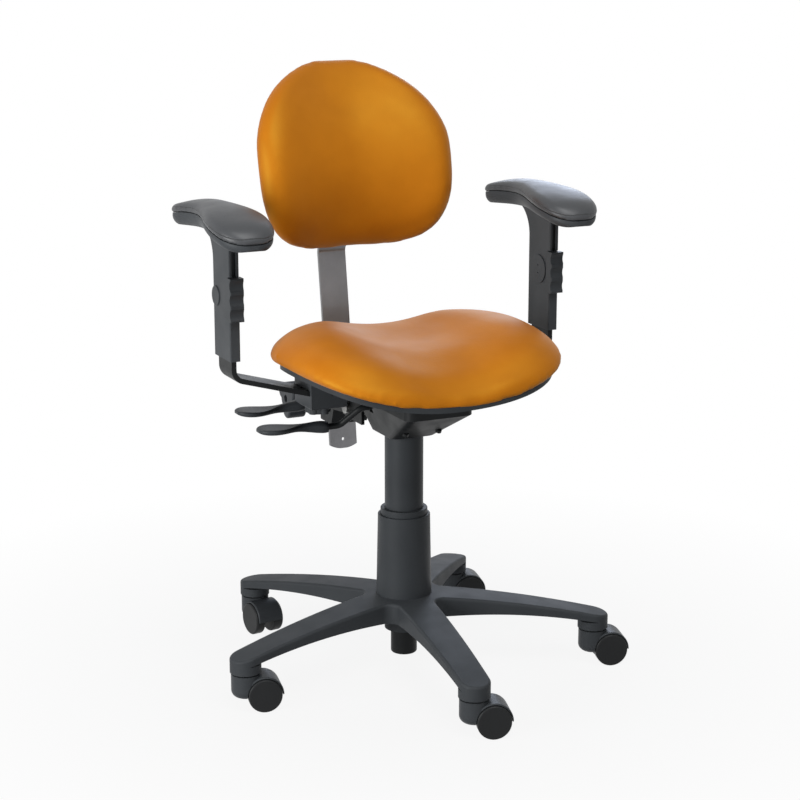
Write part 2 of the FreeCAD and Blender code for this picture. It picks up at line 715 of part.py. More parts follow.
def make_stand_tube():
    taper = stand_tube_profile(0.0)
    corner = STUB_EDGE_R * (1 - math.sqrt(0.5))
    bore = STAND_TUBE_R - STAND_TUBE_WALL
    stub_bore = STUB_R - STAND_TUBE_WALL
    floor_z = STUB_BOTTOM_Z + CLIP_THICK + STUB_FLOOR
    hole = ROD_R + GAP
    bush_z = STAND_TUBE_TOP_Z - BUSH_HEIGHT
    at = lambda radius, height: Vector(radius, 0, height)
    rim_low = at(STUB_R - STUB_EDGE_R, STUB_BOTTOM_Z)
    rim_mid = at(STUB_R - corner, STUB_BOTTOM_Z + corner)
    rim_high = at(STUB_R, STUB_BOTTOM_Z + STUB_EDGE_R)
    points = [rim_high, at(*taper[0]), at(*taper[1]), at(STAND_TUBE_R, STAND_TUBE_TOP_Z),
              at(CYLINDER_R + FIT, STAND_TUBE_TOP_Z), at(CYLINDER_R + FIT, bush_z), at(bore, bush_z),
              at(bore, HUB_TOP_Z), at(stub_bore, COLLAR_BOTTOM_Z), at(stub_bore, floor_z), at(hole, floor_z),
              at(hole, STUB_BOTTOM_Z + CLIP_THICK), at(CLIP_R + GAP, STUB_BOTTOM_Z + CLIP_THICK),
              at(CLIP_R + GAP, STUB_BOTTOM_Z), rim_low]
    edges = [line(a, b) for a, b in zip(points, points[1:])]
    return turned(edges + [arc(rim_low, rim_mid, rim_high)])


def bearing_z():
    return STUB_BOTTOM_Z + CLIP_THICK + STUB_FLOOR


def make_retaining_clip():
    disc = ring(CLIP_R, ROD_R + PRESS, STUB_BOTTOM_Z, STUB_BOTTOM_Z + CLIP_THICK - AXIAL_PLAY)
    mouth = box(0, CLIP_R + MARGIN, -ROD_R / 2, ROD_R / 2, 0, HUB_TOP_Z)
    return disc.cut(mouth)


def make_thrust_bearing():
    return ring(BEARING_OUTER_R, ROD_R + GAP, bearing_z(), bearing_z() + BEARING_THICK)


def make_piston_rod():
    shoulder_z = bearing_z() + BEARING_THICK + AXIAL_PLAY
    pieces = [
        upright(ROD_R, STUB_BOTTOM_Z, PISTON_Z + PISTON_HEIGHT),
        upright(ROD_SHOULDER_R, shoulder_z, shoulder_z + ROD_SHOULDER_HEIGHT),
        upright(CYLINDER_BORE_R - FIT, PISTON_Z, PISTON_Z + PISTON_HEIGHT),
    ]
    return fused(pieces)


def cylinder_outline(clear):
    """Outside of the gas cylinder, with the taper that the seat mechanism sits on."""
    taper_z = CYLINDER_TOP_Z - CYLINDER_TAPER_LENGTH
    narrow = CYLINDER_R - CYLINDER_TAPER
    return [(CYLINDER_R + clear, CYLINDER_BOTTOM_Z), (CYLINDER_R + clear, taper_z),
            (narrow + clear, CYLINDER_TOP_Z)]


def make_gas_cylinder():
    outline = cylinder_outline(0.0)
    outside = turned_polygon([(0, CYLINDER_BOTTOM_Z)] + outline + [(0, CYLINDER_TOP_Z)])
    taper_z = CYLINDER_TOP_Z - CYLINDER_TAPER_LENGTH
    chamber = upright(CYLINDER_BORE_R, CYLINDER_BOTTOM_Z + CYLINDER_CAP, taper_z)
    throat = upright(ROD_R + FIT, CYLINDER_BOTTOM_Z - MARGIN, CYLINDER_BOTTOM_Z + CYLINDER_CAP)
    pin = upright(RELEASE_PIN_R, CYLINDER_TOP_Z, CYLINDER_TOP_Z + RELEASE_PIN_HEIGHT)
    return fused([outside.cut(chamber).cut(throat), pin])


def make_lower_cover():
    inner_top = LOWER_COVER_TOP_R - COVER_WALL
    lip_r = MIDDLE_COVER_R + GAP
    lip_z = LOWER_COVER_TOP_Z - COVER_LIP
    cover = turned_polygon([
        (LOWER_COVER_BOTTOM_R - COVER_WALL, HUB_TOP_Z), (LOWER_COVER_BOTTOM_R, HUB_TOP_Z),
        (LOWER_COVER_TOP_R, LOWER_COVER_TOP_Z), (lip_r, LOWER_COVER_TOP_Z),
        (lip_r, lip_z), (inner_top, lip_z)])
    return rounded(cover, COVER_EDGE_R, lambda edge: outer_rim(edge, LOWER_COVER_TOP_Z, LOWER_COVER_TOP_R))


def outer_rim(edge, z, radius):
    return level(edge, z) and abs(edge.BoundBox.XLength / 2 - radius) < GAP


def make_middle_cover():
    bore = MIDDLE_COVER_R - COVER_WALL
    lip_r = UPPER_COVER_R + GAP
    lip_z = MIDDLE_COVER_TOP_Z - COVER_LIP
    cover = turned_polygon([
        (bore, MIDDLE_COVER_BOTTOM_Z), (MIDDLE_COVER_R, MIDDLE_COVER_BOTTOM_Z),
        (MIDDLE_COVER_R, MIDDLE_COVER_TOP_Z), (lip_r, MIDDLE_COVER_TOP_Z), (lip_r, lip_z), (bore, lip_z)])
    return rounded(cover, COVER_EDGE_R, lambda edge: outer_rim(edge, MIDDLE_COVER_TOP_Z, MIDDLE_COVER_R))


def make_upper_cover():
    return ring(UPPER_COVER_R, UPPER_COVER_R - COVER_WALL, UPPER_COVER_BOTTOM_Z, PAN_BOTTOM_Z)


def flip_x(point):
    return Vector(-point.x, point.y, point.z)


def dish_z(x):
    """Height of the seat's dish at one distance from its middle."""
    radius = (SEAT_DISH_CHORD ** 2 + SEAT_DISH_RISE ** 2) / (2 * SEAT_DISH_RISE)
    return SEAT_DISH_Z + radius - math.sqrt(radius ** 2 - x ** 2)


def below_dish(drop):
    """Everything under the dish, lowered by a wall thickness."""
    reach = SEAT_HALF_WIDTH + CUSHION_BULGE + MARGIN
    low = PAN_BOTTOM_Z
    at = lambda x, z: Vector(x, SEAT_FRONT_Y - MARGIN, z)
    edge = dish_z(reach) - drop
    side = face_of([line(at(-reach, low), at(reach, low)), line(at(reach, low), at(reach, edge)),
                    arc(at(reach, edge), at(0, SEAT_DISH_Z - drop), at(-reach, edge)),
                    line(at(-reach, edge), at(-reach, low))])
    return side.extrude(Vector(0, SEAT_REAR_Y - SEAT_FRONT_Y + 2 * MARGIN, 0))


def seat_prism(inset):
    """Plan of the seat, drawn in by an inset, as an upright solid."""
    half = SEAT_HALF_WIDTH - inset
    front = SEAT_WAIST_Y - SEAT_FRONT_Y - inset
    rear = SEAT_REAR_Y - SEAT_WAIST_Y - inset
    right = []
    for step in range(SEAT_PLAN_STEPS):
        angle = step * math.pi / 2 / SEAT_PLAN_STEPS
        power = 2 / SEAT_FRONT_POWER
        right.append(Vector(half * math.sin(angle) ** power, SEAT_WAIST_Y - front * math.cos(angle) ** power,
                            PAN_TOP_Z))
    for step in range(SEAT_PLAN_STEPS):
        angle = step * math.pi / 2 / SEAT_PLAN_STEPS
        power = 2 / SEAT_REAR_POWER
        right.append(Vector(half * math.cos(angle) ** power, SEAT_WAIST_Y + rear * math.sin(angle) ** power,
                            PAN_TOP_Z))
    tail = Vector(0, SEAT_WAIST_Y + rear, PAN_TOP_Z)
    left = [flip_x(point) for point in reversed(right[1:])]
    curve = Part.BSplineCurve()
    curve.interpolate(Points=right + [tail] + left, PeriodicFlag=True)
    height = dish_z(SEAT_HALF_WIDTH) - PAN_TOP_Z + MARGIN
    return Part.Face(Part.Wire([curve.toShape()])).extrude(Vector(0, 0, height))


def seat_half_width(y):
    """Half width of the cushion's edge at one depth."""
    if y <= SEAT_WAIST_Y:
        share = (SEAT_WAIST_Y - y) / (SEAT_WAIST_Y - SEAT_FRONT_Y)
        power = SEAT_FRONT_POWER
    else:
        share = (y - SEAT_WAIST_Y) / (SEAT_REAR_Y - SEAT_WAIST_Y)
        power = SEAT_REAR_POWER
    return SEAT_HALF_WIDTH * (1 - share ** power) ** (1 / power)


def blend(a, b, share):
    return a + (b - a) * share


def seat_stations():
    """Depths of the cushion's sections and how full each one is."""
    front = SEAT_FRONT_Y + CUSHION_FRONT_ROLL
    rear = SEAT_REAR_Y - CUSHION_REAR_ROLL
    stations = []
    for step in reversed(ROLL_STEPS):
        stations.append((front - CUSHION_FRONT_ROLL * step, math.sqrt(1 - step ** 2)))
    for index in range(1, SEAT_STEPS):
        stations.append((blend(front, rear, index / SEAT_STEPS), 1.0))
    for step in ROLL_STEPS:
        stations.append((rear + CUSHION_REAR_ROLL * step, math.sqrt(1 - step ** 2)))
    return stations


def cushion_section(y, fullness):
    """Saddle section: swelling sides, a bolster on each side and a valley between them."""
    share = (y - SEAT_FRONT_Y) / (SEAT_REAR_Y - SEAT_FRONT_Y)
    ease = share * share * (3 - 2 * share)
    front, pull, rear = CUSHION_CREST_Z
    crest = blend(blend(front, pull, share), blend(pull, rear, share), share)
    rim = seat_half_width(y)
    edge = dish_z(rim)
    crest = blend(edge, crest, fullness)
    middle = blend(SEAT_DISH_Z, blend(CUSHION_POMMEL_Z, CUSHION_VALLEY_Z, ease), fullness)
    wide = rim + CUSHION_BULGE * fullness
    crest_x = wide * CUSHION_CREST_SHARE
    low = blend(edge, crest, CUSHION_SIDE_SHARE)
    at = lambda x, z: Vector(x, y, z)
    right = [at(rim, SEAT_DISH_Z - SHELL_THICK), at(rim, edge - CUSHION_DRAW), at(wide, low),
             at(blend(crest_x, wide, math.sqrt(0.5)), blend(low, crest, math.sqrt(0.5))), at(crest_x, crest),
             at(crest_x / 2, (crest + middle) / 2)]
    left = [flip_x(point) for point in right]
    return Part.Wire([
        line(left[0], right[0]), line(right[0], right[1]), arc(right[1], right[2], right[3]),
        arc(right[3], right[4], right[5]), arc(right[5], at(0, middle), left[5]),
        arc(left[5], left[4], left[3]), arc(left[3], left[2], left[1]), line(left[1], left[0])])


def make_seat_cushion():
    return lofted([cushion_section(y, fullness) for y, fullness in seat_stations()]).cut(below_dish(0.0))


def make_seat_shell():
    """Dished shell with a bedded recess for the board and a boss over each seat bolt."""
    shell = seat_prism(SHELL_INSET).common(below_dish(0.0)).cut(below_dish(SHELL_THICK))
    plate_top = PAN_TOP_Z + PLATE_THICK
    boss_top = dish_z(SEAT_BOLT_X) - BOARD_THICK
    bosses = [upright(SHELL_BOSS_R, plate_top, boss_top, x, y) for x, y in seat_bolt_places()]
    shell = fused([shell, fused(bosses).common(below_dish(0.0))])
    shell = shell.cut(seat_prism(BOARD_INSET).cut(below_dish(BOARD_THICK)))
    for x, y in seat_bolt_places():
        shell = shell.cut(upright(SEAT_BOLT_R + PRESS, PAN_TOP_Z, dish_z(SEAT_BOLT_X), x, y))
    return shell


def make_seat_board():
    board = seat_prism(BOARD_INSET + GAP).common(below_dish(0.0)).cut(below_dish(BOARD_THICK))
    for x, y in seat_bolt_places():
        board = board.cut(upright(SEAT_BOLT_R + PRESS, PAN_TOP_Z, dish_z(SEAT_HALF_WIDTH), x, y))
    return board


def seat_bolt_places():
    return [(sign * SEAT_BOLT_X, y) for sign in (-1, 1) for y in (SEAT_BOLT_FRONT_Y, SEAT_BOLT_REAR_Y)]


def make_seat_plate():
    plate = block(-PLATE_HALF_X, PLATE_HALF_X, PLATE_FRONT_Y, PLATE_REAR_Y,
                  PAN_TOP_Z, PAN_TOP_Z + PLATE_THICK, PLATE_CORNER_R)
    for x, y in seat_bolt_places():
        plate = plate.cut(upright(SEAT_BOLT_R + PRESS, PAN_TOP_Z - MARGIN, SEAT_DISH_Z, x, y))
    return plate


def make_seat_bolts():
    bolts = []
    for x, y in seat_bolt_places():
        head = upright(SEAT_BOLT_HEAD_R, PAN_TOP_Z - SEAT_BOLT_HEAD, PAN_TOP_Z, x, y)
        shank = upright(SEAT_BOLT_R, PAN_TOP_Z - SEAT_BOLT_HEAD, dish_z(SEAT_BOLT_X) - SEAT_BOLT_END, x, y)
        bolts.append(fused([head, shank]))
    return Part.makeCompound(bolts)


def pan_outline(z, half_x, y0, y1, radius):
    middle = (y0 + y1) / 2
    return rounded_rectangle(half_x, (y1 - y0) / 2, radius, lambda u, v: Vector(u, middle + v, z))


def pan_solid(wall):
    """Upright rim and slanting belly of the pan, drawn in by a wall."""
    bend_z = PAN_TOP_Z - PAN_WALL_HEIGHT
    radius = PAN_CORNER_R - wall
    top = [PAN_HALF_WIDTH - wall, PAN_FRONT_Y + wall, PAN_REAR_Y - wall, radius]
    low = [PAN_BOTTOM_HALF_WIDTH - wall, PAN_BOTTOM_FRONT_Y + wall, PAN_BOTTOM_REAR_Y - wall, radius]
    belly = lofted([pan_outline(PAN_BOTTOM_Z + wall, *low), pan_outline(bend_z, *top)], True)
    rim = Part.Face(pan_outline(bend_z, *top)).extrude(Vector(0, 0, PAN_WALL_HEIGHT))
    return fused([belly, rim])


def make_mechanism_housing():
    pan = rounded(pan_solid(0.0), PAN_EDGE_R, lambda edge: level(edge, PAN_BOTTOM_Z))
    hollow = pan_solid(PAN_WALL)
    socket = upright(SOCKET_R, PAN_BOTTOM_Z, CYLINDER_TOP_Z)
    pan = fused([pan.cut(hollow), socket])
    cheeks = []
    for sign in (-1, 1):
        near, far = sorted((sign * CHEEK_INNER_X, sign * CHEEK_OUTER_X))
        cheeks.append(cheek(near, far))
    bridge = box(-CHEEK_OUTER_X, CHEEK_OUTER_X, PAN_REAR_Y - PAN_WALL, CHEEK_REAR_Y,
                 PAN_TOP_Z - PAN_WALL, PAN_TOP_Z)
    rivets = []
    for sign in (-1, 1):
        rivets.append(pan_rivet(sign))
    housing = fused([pan, bridge] + cheeks + rivets)
    outline = cylinder_outline(PRESS)
    taper = turned_polygon([(0, PAN_BOTTOM_Z - MARGIN), (outline[1][0], PAN_BOTTOM_Z - MARGIN), outline[1],
                            outline[2], (0, CYLINDER_TOP_Z)])
    housing = housing.cut(taper)
    housing = housing.cut(crossbar(PIVOT_R + PRESS, -PAN_HALF_WIDTH, PAN_HALF_WIDTH, PIVOT_Y, PIVOT_Z))
    slot_z = PAN_TOP_Z - PAN_WALL_HEIGHT / 2
    housing = housing.cut(box(-2 * PAN_HALF_WIDTH, 2 * PAN_HALF_WIDTH, PAN_SLOT_Y - PAN_SLOT_LENGTH / 2,
                              PAN_SLOT_Y + PAN_SLOT_LENGTH / 2, slot_z - PAN_SLOT_HEIGHT / 2,
                              slot_z + PAN_SLOT_HEIGHT / 2))
    return add_lever_seats(housing)


def pan_rivet(sign):
    """Domed head on the slanting front belly of the pan."""
    bend_z = PAN_TOP_Z - PAN_WALL_HEIGHT
    share = (PAN_RIVET_Y - PAN_FRONT_Y) / (PAN_BOTTOM_FRONT_Y - PAN_FRONT_Y)
    z = blend(bend_z, PAN_BOTTOM_Z, share)
    centre = Vector(sign * PAN_RIVET_X, PAN_RIVET_Y, z)
    slope = Vector(0, bend_z - PAN_BOTTOM_Z, PAN_FRONT_Y - PAN_BOTTOM_FRONT_Y).normalize()
    return rod(PAN_RIVET_R, centre - slope * PAN_RIVET_RISE, centre + slope * PAN_RIVET_RISE)


def cheek(near, far):
    """Side plate that carries one end of the back's hinge."""
    at = lambda y, z: Vector(near, y, z)
    nose = CHEEK_NOSE_R * (1 - math.sqrt(0.5))
    front = PAN_REAR_Y - PAN_WALL
    front_top, front_low = at(front, PAN_TOP_Z), at(front, CHEEK_BOTTOM_Z)
    rear_top = at(CHEEK_REAR_Y, PAN_TOP_Z)
    nose_low = at(CHEEK_REAR_Y - CHEEK_NOSE_R, CHEEK_BOTTOM_Z)
    nose_mid = at(CHEEK_REAR_Y - nose, CHEEK_BOTTOM_Z + nose)
    nose_high = at(CHEEK_REAR_Y, CHEEK_BOTTOM_Z + CHEEK_NOSE_R)
    plate = face_of([line(front_top, front_low), line(front_low, nose_low),
                     arc(nose_low, nose_mid, nose_high),
                     line(nose_high, rear_top), line(rear_top, front_top)])
    return plate.extrude(Vector(far - near, 0, 0))


def lever_ears(x, y, z, wall_x, half):
    """Two ears on a wall of the housing that hold the pin of a lever."""
    ears = []
    for sign in (-1, 1):
        near, far = sorted((y + sign * (half + GAP), y + sign * (half + GAP + LEVER_EAR_THICK)))
        ends = sorted((wall_x, x + math.copysign(LEVER_EAR_REACH, x - wall_x)))
        ears.append(box(ends[0], ends[1], near, far, z - LEVER_EAR_REACH, z + LEVER_EAR_REACH))
    return ears


def lever_pin(x, y, z, half, radius):
    reach = half + GAP + LEVER_EAR_THICK
    return rod(radius, Vector(x, y - reach, z), Vector(x, y + reach, z))


def height_pin(radius):
    return lever_pin(HEIGHT_LEVER_X, HEIGHT_LEVER_Y, HEIGHT_LEVER_Z, LEVER_HUB_HALF, radius)


def tilt_pin(radius):
    return lever_pin(TILT_LEVER_X, TILT_LEVER_Y, TILT_LEVER_Z, TILT_ARM_WIDTH / 2, radius)


def add_lever_seats(housing):
    """Ears for both levers and the opening in the right wall for the height lever."""
    inner_x = -(PAN_BOTTOM_HALF_WIDTH + PAN_HALF_WIDTH) / 2
    ears = lever_ears(HEIGHT_LEVER_X, HEIGHT_LEVER_Y, HEIGHT_LEVER_Z, inner_x, LEVER_HUB_HALF)
    ears += lever_ears(TILT_LEVER_X, TILT_LEVER_Y, TILT_LEVER_Z, -CHEEK_OUTER_X, TILT_ARM_WIDTH / 2)
    housing = fused([housing] + ears)
    half = LEVER_HUB_HALF + GAP
    window = box(-2 * PAN_HALF_WIDTH, HEIGHT_LEVER_X, HEIGHT_LEVER_Y - half, HEIGHT_LEVER_Y + half,
                 HEIGHT_LEVER_Z - LEVER_WINDOW / 2, HEIGHT_LEVER_Z + LEVER_WINDOW / 2)
    return housing.cut(window).cut(height_pin(LEVER_PIN_R + PRESS)).cut(tilt_pin(LEVER_PIN_R + PRESS))


def make_lever_pins():
    return Part.makeCompound([height_pin(LEVER_PIN_R), tilt_pin(LEVER_PIN_R)])


def lever_hub(x, y, z, half):
    return rod(LEVER_HUB_R, Vector(x, y - half, z), Vector(x, y + half, z))


def make_height_lever():
    """Bent rod whose finger rests over the gas cylinder's release pin."""
    x, y, z = HEIGHT_LEVER_X, HEIGHT_LEVER_Y, HEIGHT_LEVER_Z
    end = HEIGHT_PADDLE_X - PADDLE_SOCKET + GAP
    shaft = bent_rod([Vector(x, y, z), Vector(HEIGHT_LEVER_KNEE_X, y, z),
                      Vector(HEIGHT_LEVER_DROP_X, HEIGHT_PADDLE_Y, HEIGHT_LEVER_LOW_Z),
                      Vector(end, HEIGHT_PADDLE_Y, HEIGHT_LEVER_LOW_Z)], LEVER_R, LEVER_BEND_R)
    hub = lever_hub(x, y, z, LEVER_HUB_HALF)
    finger_z = CYLINDER_TOP_Z + RELEASE_PIN_HEIGHT + HEIGHT_FINGER_RISE
    half = HEIGHT_FINGER_HALF
    post = box(x - half, x + half, y - half, y + half, z, finger_z + HEIGHT_FINGER_THICK)
    plan = [(x - half, y - half), (-half, -half), (half, -half), (half, half), (x + half, y + half),
            (x - half, y + half)]
    finger = Part.Face(polygon([Vector(px, py, finger_z) for px, py in plan]))
    finger = finger.extrude(Vector(0, 0, HEIGHT_FINGER_THICK))
    return fused([shaft, hub, post, finger]).cut(height_pin(LEVER_PIN_R + FIT))


def make_tilt_lever():
    fall = math.radians(TILT_ARM_FALL_DEG)
    length = (TILT_LEVER_X - TILT_PADDLE_X + PADDLE_SOCKET - GAP) / math.cos(fall)
    arm = box(-length, 0, -TILT_ARM_WIDTH / 2, TILT_ARM_WIDTH / 2, -TILT_ARM_THICK / 2, TILT_ARM_THICK / 2)
    arm = turned_about(arm, Y_AXIS, -TILT_ARM_FALL_DEG)
    arm = moved(arm, Vector(TILT_LEVER_X, TILT_LEVER_Y, TILT_LEVER_Z))
    hub = lever_hub(TILT_LEVER_X, TILT_LEVER_Y, TILT_LEVER_Z, TILT_ARM_WIDTH / 2)
    return fused([arm, hub]).cut(tilt_pin(LEVER_PIN_R + FIT))


def make_paddle(start, neck_z, tip_z):
    """Moulded paddle: a round grip, a flat neck and a broad spoon that turns up at its tip."""
    stations = ((0.0, PADDLE_GRIP, PADDLE_GRIP), (PADDLE_GRIP_AT, PADDLE_GRIP, PADDLE_GRIP),
                (PADDLE_NECK_AT, PADDLE_NECK_WIDTH, PADDLE_NECK_THICK),
                (PADDLE_SPOON_AT, PADDLE_SPOON_WIDTH, PADDLE_SPOON_THICK),
                (PADDLE_TIP_AT, PADDLE_SPOON_WIDTH * PADDLE_CORNER, PADDLE_SPOON_THICK),
                (1.0, PADDLE_NECK_WIDTH, PADDLE_SPOON_THICK / 2))
    tip_rise = tip_z - start.z
    curve = ((neck_z - start.z) / PADDLE_NECK_AT - tip_rise) / (PADDLE_NECK_AT - 1)
    wires = []
    for share, half_y, half_z in stations:
        x = start.x - PADDLE_LENGTH * share
        height = start.z + (tip_rise - curve) * share + curve * share ** 2
        radius = PADDLE_CORNER * min(half_y, half_z)
        at = lambda u, v: Vector(x, start.y + u, height + v)
        wires.append(rounded_rectangle(half_y, half_z, radius, at))
    return lofted(wires)


def make_height_paddle():
    start = Vector(HEIGHT_PADDLE_X, HEIGHT_PADDLE_Y, HEIGHT_LEVER_LOW_Z)
    paddle = make_paddle(start, HEIGHT_PADDLE_NECK_Z, HEIGHT_PADDLE_TIP_Z)
    return paddle.cut(crossbar(LEVER_R + PRESS, start.x - PADDLE_SOCKET, start.x + MARGIN, start.y, start.z))


def tilt_paddle_z():
    fall = math.tan(math.radians(TILT_ARM_FALL_DEG))
    return TILT_LEVER_Z + (TILT_PADDLE_X - TILT_LEVER_X) * fall


def make_tilt_paddle():
    start = Vector(TILT_PADDLE_X, TILT_LEVER_Y, tilt_paddle_z())
    paddle = make_paddle(start, TILT_PADDLE_NECK_Z, TILT_PADDLE_TIP_Z)
    half_y = TILT_ARM_WIDTH / 2 + PRESS
    half_z = TILT_ARM_THICK / 2 + PRESS
    slot = box(-PADDLE_SOCKET, MARGIN, -half_y, half_y, -half_z, half_z)
    slot = turned_about(slot, Y_AXIS, -TILT_ARM_FALL_DEG)
    return paddle.cut(moved(slot, start))


def bar_y(z):
    """Middle of the straight lower run of the back bar at one height."""
    return BAR_REF_Y + (z - BAR_REF_Z) * math.tan(math.radians(BAR_LEAN_DEG))


def bar_seat_slope():
    """Lean of the bar's upper run, as depth for each unit of height."""
    return (back_lean(BAR_TOP_Z) - back_lean(BAR_SEAT_Z)) / (BAR_TOP_Z - BAR_SEAT_Z)


def bar_seat_y(z):
    """Middle of the bar where it lies against the back shell."""
    half = BAR_THICK / 2 * math.hypot(1, bar_seat_slope()) + GAP
    return BACK_REAR_Y + half + back_lean(BAR_SEAT_Z) + (z - BAR_SEAT_Z) * bar_seat_slope()


def bar_path():
    """Middle line of the back bar as depth and height pairs."""
    kink = (bar_y(BAR_KINK_Z), BAR_KINK_Z)
    bend = (kink[0] + (BAR_BEND_Z - BAR_KINK_Z) * math.tan(math.radians(BAR_KINK_LEAN_DEG)), BAR_BEND_Z)
    forward = math.tan(math.radians(BAR_FORWARD_DEG))
    seat_z = BAR_BEND_Z + (bar_seat_y(BAR_BEND_Z) - bend[0]) / (forward - bar_seat_slope())
    return [(bar_y(BAR_TAIL_Z), BAR_TAIL_Z), kink, bend, (bar_seat_y(seat_z), seat_z),
            (bar_seat_y(BAR_TOP_Z), BAR_TOP_Z)]


def make_back_bar():
    strip = bent_strip(bar_path(), BAR_THICK, BAR_BEND_R, lambda u, v: Vector(-BAR_WIDTH / 2, u, v))
    bar = strip.extrude(Vector(BAR_WIDTH, 0, 0))
    half = BAR_WIDTH / 2
    reach = BACK_REAR_Y
    at = lambda x, z: Vector(x, 0, z)
    low = BAR_TAIL_Z - MARGIN
    corner = BAR_TAIL_Z + BAR_TAIL_RISE
    below = face_of([
        arc(at(-half, corner), at(0, BAR_TAIL_Z), at(half, corner)), line(at(half, corner), at(half, low)),
        line(at(half, low), at(-half, low)), line(at(-half, low), at(-half, corner))])
    below = below.extrude(Vector(0, 2 * reach, 0))
    bar = bar.cut(below).cut(bar_normal_rod(BAR_HOLE_R, BAR_HOLE_Z, BAR_THICK))
    for z in BACK_BOLT_Z:
        bar = bar.cut(back_bolt_shank(BACK_BOLT_R + PRESS, z))
    return bar


def bar_normal_rod(radius, z, half_length):
    """Round tool square to the bar's lower run."""
    lean = math.radians(BAR_LEAN_DEG)
    normal = Vector(0, math.cos(lean), -math.sin(lean))
    middle = Vector(0, bar_y(z), z)
    return rod(radius, middle - normal * half_length, middle + normal * half_length)


def back_bolt_axis(z):
    """Middle of the bar at one back bolt and the direction square to the bar there."""
    lean = math.atan(bar_seat_slope())
    return Vector(0, bar_seat_y(z), z), Vector(0, math.cos(lean), -math.sin(lean))


def back_bolt_shank(radius, z):
    middle, outward = back_bolt_axis(z)
    return rod(radius, middle - outward * BACK_BOLT_DEPTH, middle + outward * BAR_THICK / 2)


def make_back_bolts():
    bolts = []
    for z in BACK_BOLT_Z:
        middle, outward = back_bolt_axis(z)
        outer = middle + outward * BAR_THICK / 2
        head = rod(BACK_BOLT_HEAD_R, outer, outer + outward * BACK_BOLT_HEAD)
        bolts.append(fused([back_bolt_shank(BACK_BOLT_R, z), head]))
    return Part.makeCompound(bolts)


def back_outline(z, inset):
    """Half width of the backrest at one height."""
    if z >= BACK_WIDEST_Z:
        share = (z - BACK_WIDEST_Z) / (BACK_TOP_Z - inset - BACK_WIDEST_Z)
        power = BACK_UPPER_POWER
    else:
        share = (BACK_WIDEST_Z - z) / (BACK_WIDEST_Z - BACK_BOTTOM_Z - inset)
        power = BACK_LOWER_POWER
    return (BACK_HALF_WIDTH - inset) * (1 - share ** power) ** (1 / power)


def back_stations(inset, power):
    """Heights of the sections and how full each one is, from the bottom to the top."""
    low = BACK_WIDEST_Z - BACK_BOTTOM_Z - inset
    high = BACK_TOP_Z - inset - BACK_WIDEST_Z
    full = lambda step: (1 - step ** power) ** (1 / power)
    stations = [(BACK_WIDEST_Z - low * step, full(step)) for step in reversed(BACK_STEPS)]
    stations += [(BACK_WIDEST_Z + high * step, full(step)) for step in BACK_STEPS[1:]]
    return stations


def wrap(x):
    """How far forward the curved backrest lies at one distance from its middle."""
    radius = (BACK_HALF_WIDTH ** 2 + BACK_WRAP ** 2) / (2 * BACK_WRAP)
    return radius - math.sqrt(radius ** 2 - x ** 2)


def back_lean(z):
    share = (z - BACK_LEAN_Z) / BACK_LEAN_SPAN
    return BACK_LEAN * share + BACK_CURVE * share ** 2


def back_cushion_section(z, fullness):
    """Crescent: a hollow front, full rounded wings and a rear that follows the shell."""
    half = back_outline(z, 0.0)
    edge = BACK_EDGE_THICK * fullness
    end = half - edge / 2 * BACK_WING_ROUND
    front = BACK_SEAM_Y - (BACK_SEAM_Y - BACK_FRONT_Y) * fullness
    wing_y = BACK_SEAM_Y - wrap(end)
    at = lambda x, y: Vector(x, y + back_lean(z), z)
    return Part.Wire([
        arc(at(-end, wing_y - edge), at(0, front), at(end, wing_y - edge)),
        arc(at(end, wing_y - edge), at(half, wing_y - edge / 2), at(end, wing_y)),
        arc(at(end, wing_y), at(0, BACK_SEAM_Y), at(-end, wing_y)),
        arc(at(-end, wing_y), at(-half, wing_y - edge / 2), at(-end, wing_y - edge))])


def make_back_cushion():
    return lofted([back_cushion_section(z, fullness) for z, fullness in back_stations(0.0, BACK_EDGE_POWER)])


def back_shell_section(z, fullness):
    """Curved panel behind the cushion, thick in the middle and thin at its rim."""
    half = back_outline(z, BACK_SHELL_INSET)
    seam = BACK_SEAM_Y + GAP
    rim = seam - wrap(half)
    rear = seam + BACK_SHELL_RIM + (BACK_REAR_Y - seam - BACK_SHELL_RIM) * fullness
    at = lambda x, y: Vector(x, y + back_lean(z), z)
    return Part.Wire([
        arc(at(-half, rim), at(0, seam), at(half, rim)),
        line(at(half, rim), at(half, rim + BACK_SHELL_RIM)),
        arc(at(half, rim + BACK_SHELL_RIM), at(0, rear), at(-half, rim + BACK_SHELL_RIM)),
        line(at(-half, rim + BACK_SHELL_RIM), at(-half, rim))])


def make_back_shell():
    stations = back_stations(BACK_SHELL_INSET, BACK_SHELL_POWER)
    shell = lofted([back_shell_section(z, fullness) for z, fullness in stations])
    shell = shell.cut(moved(make_back_cushion(), Vector(0, GAP, 0)))
    for z in BACK_BOLT_Z:
        shell = shell.cut(back_bolt_shank(BACK_BOLT_R + PRESS, z))
    return shell


